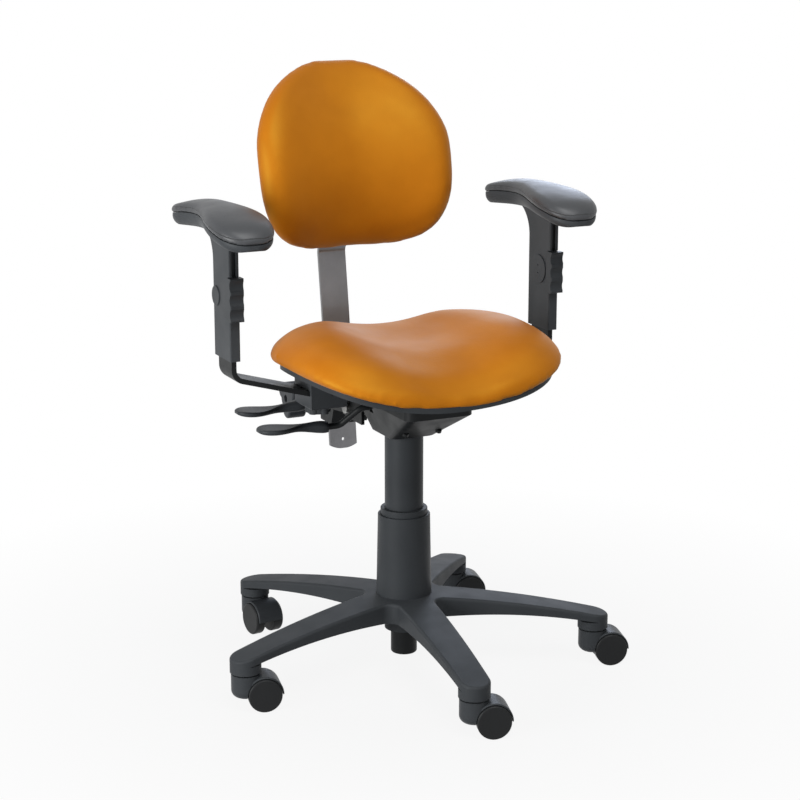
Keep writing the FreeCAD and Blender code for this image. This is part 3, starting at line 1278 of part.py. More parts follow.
def make_back_carrier():
    """Channel on the hinge, with a guide for the bar at its rear end."""
    behind = BAR_THICK / 2 + GAP + CARRIER_WALL
    low_y = bar_y(CARRIER_BOTTOM_Z)
    top_y = bar_y(CARRIER_TOP_Z)
    ahead = bar_y(KNOB_AXIS_Z) - KNOB_AXIS_Y + KNOB_STUD_R + CARRIER_WALL
    neck_low = PIVOT_Z - TONGUE_R
    profile = [(PIVOT_Y, neck_low), (low_y - ahead - CARRIER_WALL, neck_low - CARRIER_WALL),
               (low_y - ahead, CARRIER_BOTTOM_Z), (low_y + behind, CARRIER_BOTTOM_Z),
               (top_y + behind, CARRIER_TOP_Z), (top_y - ahead, CARRIER_TOP_Z), (PIVOT_Y, PIVOT_Z + TONGUE_R)]
    side = Part.Face(polygon([Vector(-CARRIER_HALF_X, y, z) for y, z in profile]))
    body = side.extrude(Vector(2 * CARRIER_HALF_X, 0, 0))
    eye = crossbar(TONGUE_R, -TONGUE_HALF_X, TONGUE_HALF_X, PIVOT_Y, PIVOT_Z)
    body = fused([body, eye])
    inside_x = CARRIER_HALF_X - CARRIER_WALL
    channel = box(-inside_x, inside_x, PIVOT_Y + TONGUE_R + CARRIER_WALL, low_y - ahead - CARRIER_WALL,
                  CARRIER_BOTTOM_Z - MARGIN, PIVOT_Z + TONGUE_R - CARRIER_WALL)
    body = body.cut(channel)
    half_x = BAR_WIDTH / 2 + GAP
    half_y = BAR_THICK / 2 + GAP
    slot = box(-half_x, half_x, -half_y, half_y, -CARRIER_TOP_Z, CARRIER_TOP_Z)
    slot = turned_about(slot, X_AXIS, -BAR_LEAN_DEG)
    body = body.cut(moved(slot, Vector(0, BAR_REF_Y, BAR_REF_Z)))
    body = body.cut(crossbar(PIVOT_R + FIT, -2 * TONGUE_HALF_X, 2 * TONGUE_HALF_X, PIVOT_Y, PIVOT_Z))
    return body.cut(crossbar(KNOB_STUD_R + FIT, -2 * CARRIER_HALF_X, CARRIER_HALF_X - CARRIER_WALL / 2,
                             KNOB_AXIS_Y, KNOB_AXIS_Z))


def make_pivot_bolt():
    shank = crossbar(PIVOT_R, -CHEEK_OUTER_X, CHEEK_OUTER_X, PIVOT_Y, PIVOT_Z)
    heads = []
    for sign in (-1, 1):
        near, far = sorted((sign * CHEEK_OUTER_X, sign * (CHEEK_OUTER_X + PIVOT_HEAD_THICK)))
        heads.append(crossbar(PIVOT_HEAD_R, near, far, PIVOT_Y, PIVOT_Z))
    return fused([shank] + heads)


def lobed_disc(lobes, hub_r, reach, lobe_r, thick):
    """Knob head with round lobes, from z = 0 up."""
    pieces = [upright(hub_r, 0, thick)]
    for index in range(lobes):
        angle = index * 2 * math.pi / lobes
        middle = reach - lobe_r
        pieces.append(upright(lobe_r, 0, thick, middle * math.cos(angle), middle * math.sin(angle)))
    return fused(pieces)


def make_back_knob():
    """Lock knob beside the back bar; its stud turns in the carrier."""
    head = lobed_disc(KNOB_LOBES, KNOB_HUB_R, KNOB_R, KNOB_LOBE_R, KNOB_THICK)
    head = rounded(head, KNOB_EDGE_R, lambda edge: level(edge, 0) or level(edge, KNOB_THICK))
    head = head.cut(upright(KNOB_BORE_R, -MARGIN, KNOB_BORE_DEPTH))
    neck = upright(KNOB_HUB_R / 2, KNOB_THICK, -KNOB_FACE_X - CARRIER_HALF_X - GAP)
    stud = upright(KNOB_STUD_R, KNOB_THICK, -KNOB_FACE_X + CARRIER_HALF_X - CARRIER_WALL)
    knob = fused([head, neck, stud])
    knob.rotate(ORIGIN, Y_AXIS, FULL_TURN / 4)
    return moved(knob, Vector(KNOB_FACE_X, KNOB_AXIS_Y, KNOB_AXIS_Z))


def arm_bar_z(x):
    """Middle of the arm bar's sloping run at one place across the chair."""
    return ARM_BAR_REF_Z + (ARM_BAR_REF_X - x) * math.tan(math.radians(ARM_BAR_SLOPE_DEG))


def make_arm_bracket():
    path = [(ARM_BAR_INNER_X, arm_bar_z(ARM_BAR_INNER_X)), (ARM_X, arm_bar_z(ARM_X)), (ARM_X, ARM_BAR_TOP_Z)]
    strip = bent_strip(path, ARM_BAR_THICK, ARM_BAR_BEND_R, lambda u, v: Vector(u, ARM_BAR_FRONT_Y, v))
    bar = strip.extrude(Vector(0, ARM_BAR_REAR_Y - ARM_BAR_FRONT_Y, 0))
    for index in range(ARM_HOLE_COUNT):
        z = ARM_HOLE_FIRST_Z + index * ARM_HOLE_PITCH
        bar = bar.cut(crossbar(ARM_HOLE_R, ARM_X - ARM_BAR_THICK, ARM_X + ARM_BAR_THICK, clamp_y(), z))
    half = CLAMP_STUD_R + CLAMP_SLOT_SIDE
    reach = ARM_WIDTH_TRAVEL * math.cos(math.radians(ARM_BAR_SLOPE_DEG))
    tools = [box(CLAMP_X - reach, CLAMP_X + reach, clamp_y() - half, clamp_y() + half,
                 MOUNT_BOTTOM_Z, MOUNT_ROOM_Z)]
    for sign in (-1, 1):
        tools.append(upright(half, MOUNT_BOTTOM_Z, MOUNT_ROOM_Z, CLAMP_X + sign * reach, clamp_y()))
    return bar.cut(fused(tools))


def clamp_y():
    return (ARM_BAR_FRONT_Y + ARM_BAR_REAR_Y) / 2


def make_arm_mount():
    """Guide under the seat for one arm bar, clamped by a knob from below."""
    mount = box(MOUNT_OUTER_X, MOUNT_INNER_X, ARM_BAR_FRONT_Y - MOUNT_WALL, ARM_BAR_REAR_Y + MOUNT_WALL,
                MOUNT_BOTTOM_Z, MOUNT_ROOM_Z)
    mount = rounded(mount, MOUNT_EDGE_R, lambda edge: level(edge, MOUNT_BOTTOM_Z))
    mount = mount.common(below_dish(SHELL_THICK))
    half = ARM_BAR_THICK / 2 + GAP
    reach = -ARM_X
    slot = box(-reach, reach, ARM_BAR_FRONT_Y - GAP, ARM_BAR_REAR_Y + GAP, -half, half)
    slot = turned_about(slot, Y_AXIS, ARM_BAR_SLOPE_DEG)
    mount = mount.cut(moved(slot, Vector(ARM_BAR_REF_X, 0, ARM_BAR_REF_Z)))
    window = box(MOUNT_WINDOW_X - MOUNT_WINDOW_LENGTH / 2, MOUNT_WINDOW_X + MOUNT_WINDOW_LENGTH / 2,
                 ARM_BAR_FRONT_Y - MOUNT_WALL - MARGIN, ARM_BAR_FRONT_Y - MOUNT_WALL / 2,
                 MOUNT_WINDOW_Z - MOUNT_WINDOW_HEIGHT / 2, MOUNT_WINDOW_Z + MOUNT_WINDOW_HEIGHT / 2)
    mount = mount.cut(window)
    stud_hole = upright(CLAMP_STUD_R + FIT, MOUNT_BOTTOM_Z - MARGIN, CLAMP_TOP_Z + GAP, CLAMP_X, clamp_y())
    return mount.cut(stud_hole)


def make_clamp_knob():
    valley_r = CLAMP_KNOB_R - CLAMP_LOBE_R / 2
    head = lobed_disc(CLAMP_LOBES, valley_r, CLAMP_KNOB_R, CLAMP_LOBE_R, CLAMP_KNOB_THICK)
    top = MOUNT_BOTTOM_Z - GAP
    head = moved(head, Vector(CLAMP_X, clamp_y(), top - CLAMP_KNOB_THICK))
    stud = upright(CLAMP_STUD_R, top - CLAMP_KNOB_THICK, CLAMP_TOP_Z, CLAMP_X, clamp_y())
    return fused([head, stud])


def sleeve_body():
    """Outside of a sleeve, which flares back under the pad."""
    flare = SLEEVE_TOP_Z - SLEEVE_FLARE_Z
    near = flare * (1 - math.sqrt(0.5))
    far = flare * math.sqrt(0.5)
    at = lambda y, z: Vector(ARM_X - SLEEVE_HALF_X, y, z)
    side = face_of([
        line(at(SLEEVE_FRONT_Y, SLEEVE_BOTTOM_Z), at(SLEEVE_FRONT_Y, SLEEVE_TOP_Z)),
        line(at(SLEEVE_FRONT_Y, SLEEVE_TOP_Z), at(SLEEVE_REAR_Y + flare, SLEEVE_TOP_Z)),
        arc(at(SLEEVE_REAR_Y + flare, SLEEVE_TOP_Z), at(SLEEVE_REAR_Y + near, SLEEVE_FLARE_Z + far),
            at(SLEEVE_REAR_Y, SLEEVE_FLARE_Z)),
        line(at(SLEEVE_REAR_Y, SLEEVE_FLARE_Z), at(SLEEVE_REAR_Y, SLEEVE_BOTTOM_Z)),
        line(at(SLEEVE_REAR_Y, SLEEVE_BOTTOM_Z), at(SLEEVE_FRONT_Y, SLEEVE_BOTTOM_Z))])
    body = side.extrude(Vector(2 * SLEEVE_HALF_X, 0, 0))
    return rounded(body, SLEEVE_EDGE_R, is_upright)


def make_arm_sleeve():
    """Tall sleeve that slides on the upright."""
    half = ARM_BAR_THICK / 2 + GAP
    cavity = box(ARM_X - half, ARM_X + half, ARM_BAR_FRONT_Y - GAP, ARM_BAR_REAR_Y + GAP,
                 SLEEVE_BOTTOM_Z - MARGIN, SLEEVE_TOP_Z - SLEEVE_ROOF)
    groove = box(ARM_X - GROOVE_HALF_X, ARM_X + GROOVE_HALF_X,
                 SLEEVE_FRONT_Y - MARGIN, SLEEVE_FRONT_Y + GROOVE_DEPTH, TRIGGER_TOP_Z, SLEEVE_TOP_Z + MARGIN)
    notch_y = TRIGGER_BACK_Y + TRIGGER_TRAVEL + GAP
    notch = box(ARM_X - 2 * SLEEVE_HALF_X, ARM_X + 2 * SLEEVE_HALF_X, SLEEVE_FRONT_Y - MARGIN, notch_y,
                TRIGGER_BOTTOM_Z - 2 * GAP, TRIGGER_TOP_Z + 2 * GAP)
    pin_half = BUTTON_PIN_R + GAP
    slot_x = ARM_X - SLEEVE_HALF_X + TRIGGER_SKIN
    pin_slot = box(ARM_X - 2 * SLEEVE_HALF_X, slot_x,
                   BUTTON_Y - pin_half, BUTTON_Y + pin_half + TRIGGER_TRAVEL,
                   BUTTON_Z - pin_half, BUTTON_Z + pin_half)
    return sleeve_body().cut(cavity).cut(groove).cut(notch).cut(pin_slot)


def make_trigger():
    """Squeeze trigger: a grip with finger scallops and a side plate that ends in a round button."""
    outer = ARM_X - SLEEVE_HALF_X - GAP
    inner = ARM_X + SLEEVE_HALF_X + GAP
    plate_x = outer - TRIGGER_SKIN
    grip = box(plate_x, inner + TRIGGER_SKIN, TRIGGER_FRONT_Y, TRIGGER_BACK_Y,
               TRIGGER_BOTTOM_Z, TRIGGER_TOP_Z)
    grip = rounded(grip, TRIGGER_EDGE_R, lambda edge: edge.BoundBox.YMax < TRIGGER_FRONT_Y + FLAT)
    pitch = (TRIGGER_TOP_Z - TRIGGER_BOTTOM_Z) / SCALLOPS
    centre_y = TRIGGER_FRONT_Y + SCALLOP_DEPTH - SCALLOP_R
    for index in range(SCALLOPS):
        z = TRIGGER_BOTTOM_Z + pitch * (index + 0.5)
        grip = grip.cut(crossbar(SCALLOP_R, plate_x - MARGIN, inner + TRIGGER_SKIN + MARGIN, centre_y, z))
    cheek_plate = box(inner, inner + TRIGGER_SKIN, TRIGGER_BACK_Y - GAP, TRIGGER_CHEEK_Y,
                      TRIGGER_BOTTOM_Z, TRIGGER_TOP_Z)
    corners = [(TRIGGER_BACK_Y - GAP, TRIGGER_BOTTOM_Z), (BUTTON_Y, BUTTON_Z - BUTTON_R),
               (BUTTON_Y, BUTTON_Z + BUTTON_R), (TRIGGER_BACK_Y - GAP, TRIGGER_TOP_Z)]
    plate = Part.Face(polygon([Vector(plate_x, y, z) for y, z in corners]))
    plate = plate.extrude(Vector(TRIGGER_SKIN, 0, 0))
    button = crossbar(BUTTON_R, plate_x - BUTTON_RISE, outer, BUTTON_Y, BUTTON_Z)
    button = rounded(button, TRIGGER_EDGE_R, lambda edge: edge.BoundBox.XMax < plate_x - BUTTON_RISE + FLAT)
    pin = crossbar(BUTTON_PIN_R, outer, ARM_X - SLEEVE_HALF_X + TRIGGER_SKIN - GAP, BUTTON_Y, BUTTON_Z)
    return fused([grip, cheek_plate, plate, button, pin])


def make_latch_cap():
    face_x = ARM_X + SLEEVE_HALF_X
    cap = crossbar(CAP_R, face_x, face_x + CAP_THICK, CAP_Y, CAP_Z)
    for sign in (-1, 1):
        z = CAP_Z + sign * CAP_HOLE_SPACING / 2
        cap = cap.cut(crossbar(CAP_HOLE_R, face_x - MARGIN, face_x + MARGIN, CAP_Y, z))
    return cap


def pad_stations():
    """Depths of the pad's sections with their half widths and how full each one is."""
    front = PAD_FRONT_Y + PAD_FRONT_ROUND
    rear = PAD_REAR_Y - PAD_REAR_ROUND
    stations = []
    for step in reversed(PAD_STEPS):
        stations.append((front - PAD_FRONT_ROUND * step, PAD_FRONT_HALF, math.sqrt(1 - step ** 2)))
    stations.append((PAD_NECK_Y, PAD_NECK_HALF, 1.0))
    stations.append((PAD_WAIST_Y, PAD_WAIST_HALF, 1.0))
    for step in PAD_STEPS:
        stations.append((rear + PAD_REAR_ROUND * step, PAD_REAR_HALF, math.sqrt(1 - step ** 2)))
    return stations


def pad_arch_z(y):
    """Height of the arched seam between the soft pad and its lower shell."""
    return PAD_ARCH_Z - PAD_ARCH_R + math.sqrt(PAD_ARCH_R ** 2 - (y - PAD_ARCH_Y) ** 2)


def pad_section(y, half_width, fullness):
    """Crowned section of the soft pad above its seam."""
    half = half_width * fullness
    low = pad_arch_z(y) + PAD_SEAM_GAP
    rearward = (y - PAD_FRONT_Y) / (PAD_REAR_Y - PAD_FRONT_Y)
    crown = PAD_CROWN * fullness ** PAD_END_POWER * (1 - PAD_CROWN_FALL * rearward ** 2)
    side = crown * PAD_SIDE_SHARE
    wide = half + PAD_SIDE_SWELL * fullness
    shoulder = half * PAD_SHOULDER_SHARE
    high = side + (crown - side) * PAD_SHOULDER_RISE
    at = lambda x, z: Vector(ARM_X + x, y, low + z)
    return Part.Wire([
        line(at(-half, 0), at(half, 0)), arc(at(half, 0), at(wide, side), at(shoulder, high)),
        arc(at(shoulder, high), at(0, crown), at(-shoulder, high)),
        arc(at(-shoulder, high), at(-wide, side), at(-half, 0))])


def make_arm_pad():
    return lofted([pad_section(*station) for station in pad_stations()])


def pad_base_section(y, half_width, fullness):
    """Rounded hull of the hard shell under the pad, level where the sleeve carries it."""
    half = half_width * fullness
    carried = min(max(y, SLEEVE_FRONT_Y), SLEEVE_REAR_Y + SLEEVE_TOP_Z - SLEEVE_FLARE_Z)
    depth = (pad_arch_z(carried) - SLEEVE_TOP_Z + PAD_SOCKET) * fullness ** PAD_END_POWER
    flat = half - PAD_BASE_DRAW * fullness
    at = lambda x, z: Vector(ARM_X + x, y, pad_arch_z(y) + z)
    corner = flat + (half - flat) * math.sqrt(0.5)
    low = depth * math.sqrt(0.5)
    return Part.Wire([
        line(at(half, 0), at(-half, 0)), arc(at(-half, 0), at(-corner, -low), at(-flat, -depth)),
        line(at(-flat, -depth), at(flat, -depth)), arc(at(flat, -depth), at(corner, -low), at(half, 0))])


def make_pad_base():
    return lofted([pad_base_section(*station) for station in pad_stations()]).cut(sleeve_body())


def export(node, shape):
    solids = shape.Solids
    solid = solids[0] if len(solids) == 1 else Part.makeCompound(solids)
    solid.exportStep("parts/" + node + ".step")


def main():
    os.makedirs("parts", exist_ok=True)
    export("base_star", make_base_star())
    export("caster_stems", make_caster_stems())
    housing = make_caster_housing()
    wheels = {"inner": make_caster_wheel(-1), "outer": make_caster_wheel(1)}
    for index, name in enumerate(CASTERS):
        export("caster_hood_" + name, caster_placed(housing, index))
        for side, wheel in wheels.items():
            export("caster_wheel_" + side + "_" + name, caster_placed(wheel, index))
    export("stand_tube", make_stand_tube())
    export("retaining_clip", make_retaining_clip())
    export("thrust_bearing", make_thrust_bearing())
    export("piston_rod", make_piston_rod())
    export("gas_cylinder", make_gas_cylinder())
    export("lower_cover", make_lower_cover())
    export("middle_cover", make_middle_cover())
    export("upper_cover", make_upper_cover())
    export("mechanism_housing", make_mechanism_housing())
    export("pivot_bolt", make_pivot_bolt())
    export("lever_pins", make_lever_pins())
    export("height_lever", make_height_lever())
    export("height_paddle", make_height_paddle())
    export("tilt_lever", make_tilt_lever())
    export("tilt_paddle", make_tilt_paddle())
    export("seat_plate", make_seat_plate())
    export("seat_bolts", make_seat_bolts())
    export("seat_shell", make_seat_shell())
    export("seat_board", make_seat_board())
    export("seat_cushion", make_seat_cushion())
    export("back_carrier", make_back_carrier())
    export("back_knob", make_back_knob())
    export("back_bar", make_back_bar())
    export("back_bolts", make_back_bolts())
    export("back_shell", make_back_shell())
    export("back_cushion", make_back_cushion())
    for side, sign in MIRROR_SIDES:
        export("arm_mount_" + side, on_side(make_arm_mount(), sign))
        export("clamp_knob_" + side, on_side(make_clamp_knob(), sign))
        export("arm_bracket_" + side, on_side(make_arm_bracket(), sign))
        export("arm_sleeve_" + side, on_side(make_arm_sleeve(), sign))
        export("latch_cap_" + side, on_side(make_latch_cap(), sign))
        export("arm_trigger_" + side, on_side(make_trigger(), sign))
        export("pad_base_" + side, on_side(make_pad_base(), sign))
        export("arm_pad_" + side, on_side(make_arm_pad(), sign))


main()
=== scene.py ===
"""Saddle chair: finishes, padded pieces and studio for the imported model."""
import math

import bmesh
import bpy
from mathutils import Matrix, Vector
from mathutils.bvhtree import BVHTree


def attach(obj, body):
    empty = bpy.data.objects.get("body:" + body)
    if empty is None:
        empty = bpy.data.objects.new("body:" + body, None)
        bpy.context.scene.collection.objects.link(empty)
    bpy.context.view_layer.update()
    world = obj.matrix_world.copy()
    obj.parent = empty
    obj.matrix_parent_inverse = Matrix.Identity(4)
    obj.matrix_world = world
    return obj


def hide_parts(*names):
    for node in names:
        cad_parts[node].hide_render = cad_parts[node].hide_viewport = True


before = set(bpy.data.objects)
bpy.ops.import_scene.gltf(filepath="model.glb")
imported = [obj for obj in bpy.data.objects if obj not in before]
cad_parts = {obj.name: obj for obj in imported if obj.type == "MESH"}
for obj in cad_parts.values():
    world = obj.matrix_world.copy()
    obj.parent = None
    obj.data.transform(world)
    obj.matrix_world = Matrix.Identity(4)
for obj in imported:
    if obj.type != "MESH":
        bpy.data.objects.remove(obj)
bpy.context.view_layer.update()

bl_info = {
    "name": "Saddle chair dressing",
    "version": (1, 0, 0),
    "blender": (4, 5, 0),
    "location": "View3D > Sidebar > Chair",
    "description": "Dresses the packed saddle chair: vinyl cushions, moulded and steel finishes, studio",
    "category": "Object",
}

MM = 0.001
SIDES = ("right", "left")
CASTERS = ("front_left", "front_right", "right", "back", "left")
UP = (0, 0, 1)
FORWARD = (0, -1, 0)
WHITE = (1, 1, 1)

# Padded pieces
JOIN_MM = 0.02  # points of loose triangles that lie this close are one point
SEAT_HELD = 0.05  # a cover is held where its normal leans less than this towards its crown
BACK_HELD = 0.2
PAD_HELD = -0.15
CUSHION_ROUNDS = 80  # smoothing of a cushion's free crown
PAD_ROUNDS = 4
RIM_ROUNDS = 6  # smoothing of the whole cover, which evens out the grid along its rim
RIM_EASE = 0.75  # how much further a point has to face outward than the held rim does to move freely
EASE_PART = 4  # the blend into the rim gets one round of smoothing for this many of the crown's
SMOOTH_STEP = 0.5  # how far one round of smoothing takes a point towards its neighbours' middle
PAD_FINENESS = 0.5  # spacing of the arm pads' points, as a share of the cushions'
CLOTH_STIFFNESS = 20.0
CLOTH_BENDING = 2.0
CLOTH_QUALITY = 4

# Groove round the arm pads
RISE = "rise"  # attribute of the arm pads: height above the underside, in metres
SLICE_MM = 4.0  # length of pad over which the underside counts as level
GROOVE_RISE_MM = 8.0  # height of the groove's middle above the underside
GROOVE_HALF_MM = 1.0  # half of the groove's width

# Finishes
MATT_SPECULAR = 0.14  # specular level of matt plastics and powder coat
NOISE_LOW = 0.3  # most of a noise pattern lies between these two values
NOISE_HIGH = 0.7
TONE_LOW = 0.35  # values of a noise pattern at which the mottling reaches its deep and its plain tone
TONE_HIGH = 0.65
MIX_FACTOR, MIX_A, MIX_B, MIX_RESULT = 0, 6, 7, 2  # a colour mix's sockets, whose names repeat
BAR_LEAN = math.radians(-7.4)  # the back bar's drawn lines follow its upper run

# Studio
SIDE_LAMP = {"place": (-2.8, -0.8, 0.75), "aim": (0, 0, 0.45), "size": (1.8, 1.4)}
TOP_LAMP = {"place": (-0.2, -1.6, 2.8), "aim": (0, 0, 0.6), "size": (1.6, 1.6)}
RIM_LAMP = {"place": (1.7, 2.3, 1.7), "aim": (0, 0, 0.5), "size": (1.0, 1.4)}
SENSOR_MM = 36.0
CAMERA_REACH = 50.0  # how far the camera sees
FLOOR_HALF = 20.0  # half of the floor's width
SHADOW_NEAR = 0.25  # the chair's shadow fades out between these distances from the column
SHADOW_FAR = 1.0
GLOW_NEAR = 0.9  # share of plain white in the floor within the nearer distance


def linear(hex_colour):
    """sRGB hex colour as linear red, green, blue."""
    parts = [int(hex_colour[i:i + 2], 16) / 255 for i in (1, 3, 5)]
    return tuple(p / 12.92 if p <= 0.04045 else ((p + 0.055) / 1.055) ** 2.4 for p in parts)


def colour_setting(name, description, hex_colour):
    """A colour that the panel offers."""
    return bpy.props.FloatVectorProperty(
        name=name, description=description, subtype="COLOR", size=3, min=0, max=1, default=linear(hex_colour))


class ChairFinishes(bpy.types.PropertyGroup):
    """Colours of the chair's finishes."""
    vinyl: colour_setting("Vinyl", "Colour of the upholstery", "#BE6E14")
    vinyl_deep: colour_setting("Vinyl, worn in", "Deeper tone in the upholstery's faint mottling", "#B46510")
    nylon: colour_setting("Nylon", "Colour of the base and casters", "#3A3D40")
    cover: colour_setting("Covers", "Colour of the column covers and plastic levers", "#383B3E")
    wheel: colour_setting("Wheels", "Colour of the caster wheels", "#262728")
    foam: colour_setting("Arm pads", "Colour of the soft arm pads", "#3A3C3F")
    arm: colour_setting("Arms", "Colour of the plastic arm pieces", "#404346")
    coat: colour_setting("Powder coat", "Colour of the coated steel", "#1E2021")
    bar: colour_setting("Back bar", "Colour of the bare steel bar", "#808082")
    ply: colour_setting("Seat board", "Colour of the hidden ply board", "#B48A5A")


class ChairPadding(bpy.types.PropertyGroup):
    """How the padded pieces are made."""
    voxel: bpy.props.FloatProperty(
        name="Cloth spacing", description="Spacing of the cloth's points", subtype="DISTANCE",
        min=0.003, max=0.01, default=0.005)
    draw_in: bpy.props.FloatProperty(
        name="Draw in", description="How much smaller the cover starts before it is filled",
        subtype="DISTANCE", min=0.0, max=0.01, default=0.001)
    swell: bpy.props.FloatProperty(
        name="Swell limit", description="How far a point of the cover may move when filled",
        subtype="DISTANCE", min=0.0, max=0.03, default=0.006)
    pressure: bpy.props.FloatProperty(
        name="Filling", description="Pressure that fills the cover", min=0.0, max=20.0, default=4.0)
    tuck: bpy.props.FloatProperty(
        name="Tuck", description="How far the seat's cover is drawn down over the tray", subtype="DISTANCE",
        min=0.0, max=0.01, default=0.004)
    tuck_height: bpy.props.FloatProperty(
        name="Tuck height", description="Height of the rim that is drawn down", subtype="DISTANCE",
        min=0.005, max=0.05, default=0.03)
    frames: bpy.props.IntProperty(
        name="Settling", description="Frames that the cover settles for", min=1, max=60, default=20)


class ChairStudio(bpy.types.PropertyGroup):
    """Camera and lamps."""
    lens: bpy.props.FloatProperty(
        name="Lens", description="Focal length on a sensor 36 mm wide", unit="CAMERA",
        min=10, max=300, default=89.88)
    camera_place: bpy.props.FloatVectorProperty(
        name="Camera", description="Where the camera stands", subtype="TRANSLATION", size=3,
        default=(-1.2506, -2.6043, 1.12906))
    camera_pitch: bpy.props.FloatProperty(
        name="Pitch", description="How far the camera looks down", subtype="ANGLE",
        default=math.radians(13.834))
    camera_turn: bpy.props.FloatProperty(
        name="Turn", description="Turn of the camera about the upright", subtype="ANGLE",
        default=math.radians(-25.5326))
    side: bpy.props.FloatProperty(
        name="Side lamp", description="Power of the low lamp on the left", unit="POWER", default=75.0)
    top: bpy.props.FloatProperty(
        name="Top lamp", description="Power of the large lamp high at the front", unit="POWER", default=51.0)
    rim: bpy.props.FloatProperty(
        name="Rim lamp", description="Power of the cool lamp behind on the right", unit="POWER", default=20.0)
    fill: bpy.props.FloatProperty(
        name="Surround", description="Strength of the even light from all round", default=0.05)


def add_node(tree, kind, links=None, values=None, **options):
    """One shader node with its options, input values and incoming links."""
    node = tree.nodes.new(kind)
    for name, option in options.items():
        setattr(node, name, option)
    for name, value in (values or {}).items():
        node.inputs[name].default_value = value
    for name, socket in (links or {}).items():
        tree.links.new(socket, node.inputs[name])
    return node


def start_material(name, colour, roughness, metallic=0.0):
    """A material whose shader has its plain values set; patterns are linked afterwards."""
    material = bpy.data.materials.new(name)
    material.use_nodes = True
    tree = material.node_tree
    shader = tree.nodes["Principled BSDF"]
    shader.inputs["Base Color"].default_value = (*colour, 1)
    shader.inputs["Roughness"].default_value = roughness
    shader.inputs["Metallic"].default_value = metallic
    place = add_node(tree, "ShaderNodeTexCoord")
    return material, tree, shader, place.outputs["Object"]


def per_metre(size_mm):
    """Pattern scale on Object coordinates for a feature of a real size."""
    return 1 / (size_mm * MM)


def mottle(tree, place, colour, deep, size_mm):
    """Faint drift between two tones of one colour."""
    cloud = add_node(tree, "ShaderNodeTexNoise", {"Vector": place},
                     {"Scale": per_metre(size_mm), "Detail": 3.0, "Roughness": 0.55})
    ramp = add_node(tree, "ShaderNodeValToRGB", {"Fac": cloud.outputs["Fac"]})
    ramp.color_ramp.elements[0].position = TONE_LOW
    ramp.color_ramp.elements[0].color = (*deep, 1)
    ramp.color_ramp.elements[1].position = TONE_HIGH
    ramp.color_ramp.elements[1].color = (*colour, 1)
    return ramp.outputs["Color"]


def handled(tree, place, low, high, size_mm):
    """Roughness that drifts between two values, as handling leaves it."""
    cloud = add_node(tree, "ShaderNodeTexNoise", {"Vector": place},
                     {"Scale": per_metre(size_mm), "Detail": 4.0})
    span = add_node(tree, "ShaderNodeMapRange", {"Value": cloud.outputs["Fac"]},
                    {"From Min": NOISE_LOW, "From Max": NOISE_HIGH, "To Min": low, "To Max": high})
    return span.outputs["Result"]


def toned(colour, share):
    """A darker tone of a colour."""
    return [part * share for part in colour]


def shade(tree, shader, colour, gloss, relief):
    """Patterns for colour, roughness and relief brought to the shader."""
    tree.links.new(colour, shader.inputs["Base Color"])
    tree.links.new(gloss, shader.inputs["Roughness"])
    tree.links.new(relief, shader.inputs["Normal"])


def upholstery_vinyl():
    # Expanded vinyl, embossed by a roller: a satin skin with small pebble cells and faint creases
    # between them. The real cells are under a millimetre; they are drawn at 2.2 mm so that they show.
    colours = bpy.context.scene.chair_finishes
    material, tree, shader, place = start_material("upholstery vinyl", colours.vinyl, 0.6)
    shader.inputs["Specular IOR Level"].default_value = 0.65
    shader.inputs["Specular Tint"].default_value = (*linear("#FFFA60"), 1)
    cells = add_node(tree, "ShaderNodeTexVoronoi", {"Vector": place},
                     {"Scale": per_metre(2.2), "Randomness": 0.95})
    pebbles = add_node(tree, "ShaderNodeBump", {"Height": cells.outputs["Distance"]},
                       {"Distance": 0.25 * MM, "Strength": 0.3})
    creases = add_node(tree, "ShaderNodeTexNoise", {"Vector": place},
                       {"Scale": per_metre(9.0), "Detail": 5.0, "Roughness": 0.6})
    relief = add_node(tree, "ShaderNodeBump",
                      {"Height": creases.outputs["Fac"], "Normal": pebbles.outputs["Normal"]},
                      {"Distance": 0.5 * MM, "Strength": 0.15})
    shade(tree, shader, mottle(tree, place, colours.vinyl, colours.vinyl_deep, size_mm=90.0),
          handled(tree, place, low=0.5, high=0.58, size_mm=60.0), relief.outputs["Normal"])
    return material


def moulded_plastic(name, colour, grit_mm, low, high):
    # Spark-eroded mould texture on glass-filled nylon or ABS: a fine matt grit with slightly polished
    # patches. The grit is drawn near a millimetre, several times its real size, so that it shows.
    material, tree, shader, place = start_material(name, colour, low)
    shader.inputs["Specular IOR Level"].default_value = MATT_SPECULAR
    grit = add_node(tree, "ShaderNodeTexNoise", {"Vector": place},
                    {"Scale": per_metre(grit_mm), "Detail": 2.0})
    relief = add_node(tree, "ShaderNodeBump", {"Height": grit.outputs["Fac"]},
                      {"Distance": 0.08 * MM, "Strength": 0.3})
    shade(tree, shader, mottle(tree, place, colour, toned(colour, 0.88), size_mm=70.0),
          handled(tree, place, low, high, size_mm=40.0), relief.outputs["Normal"])
    return material


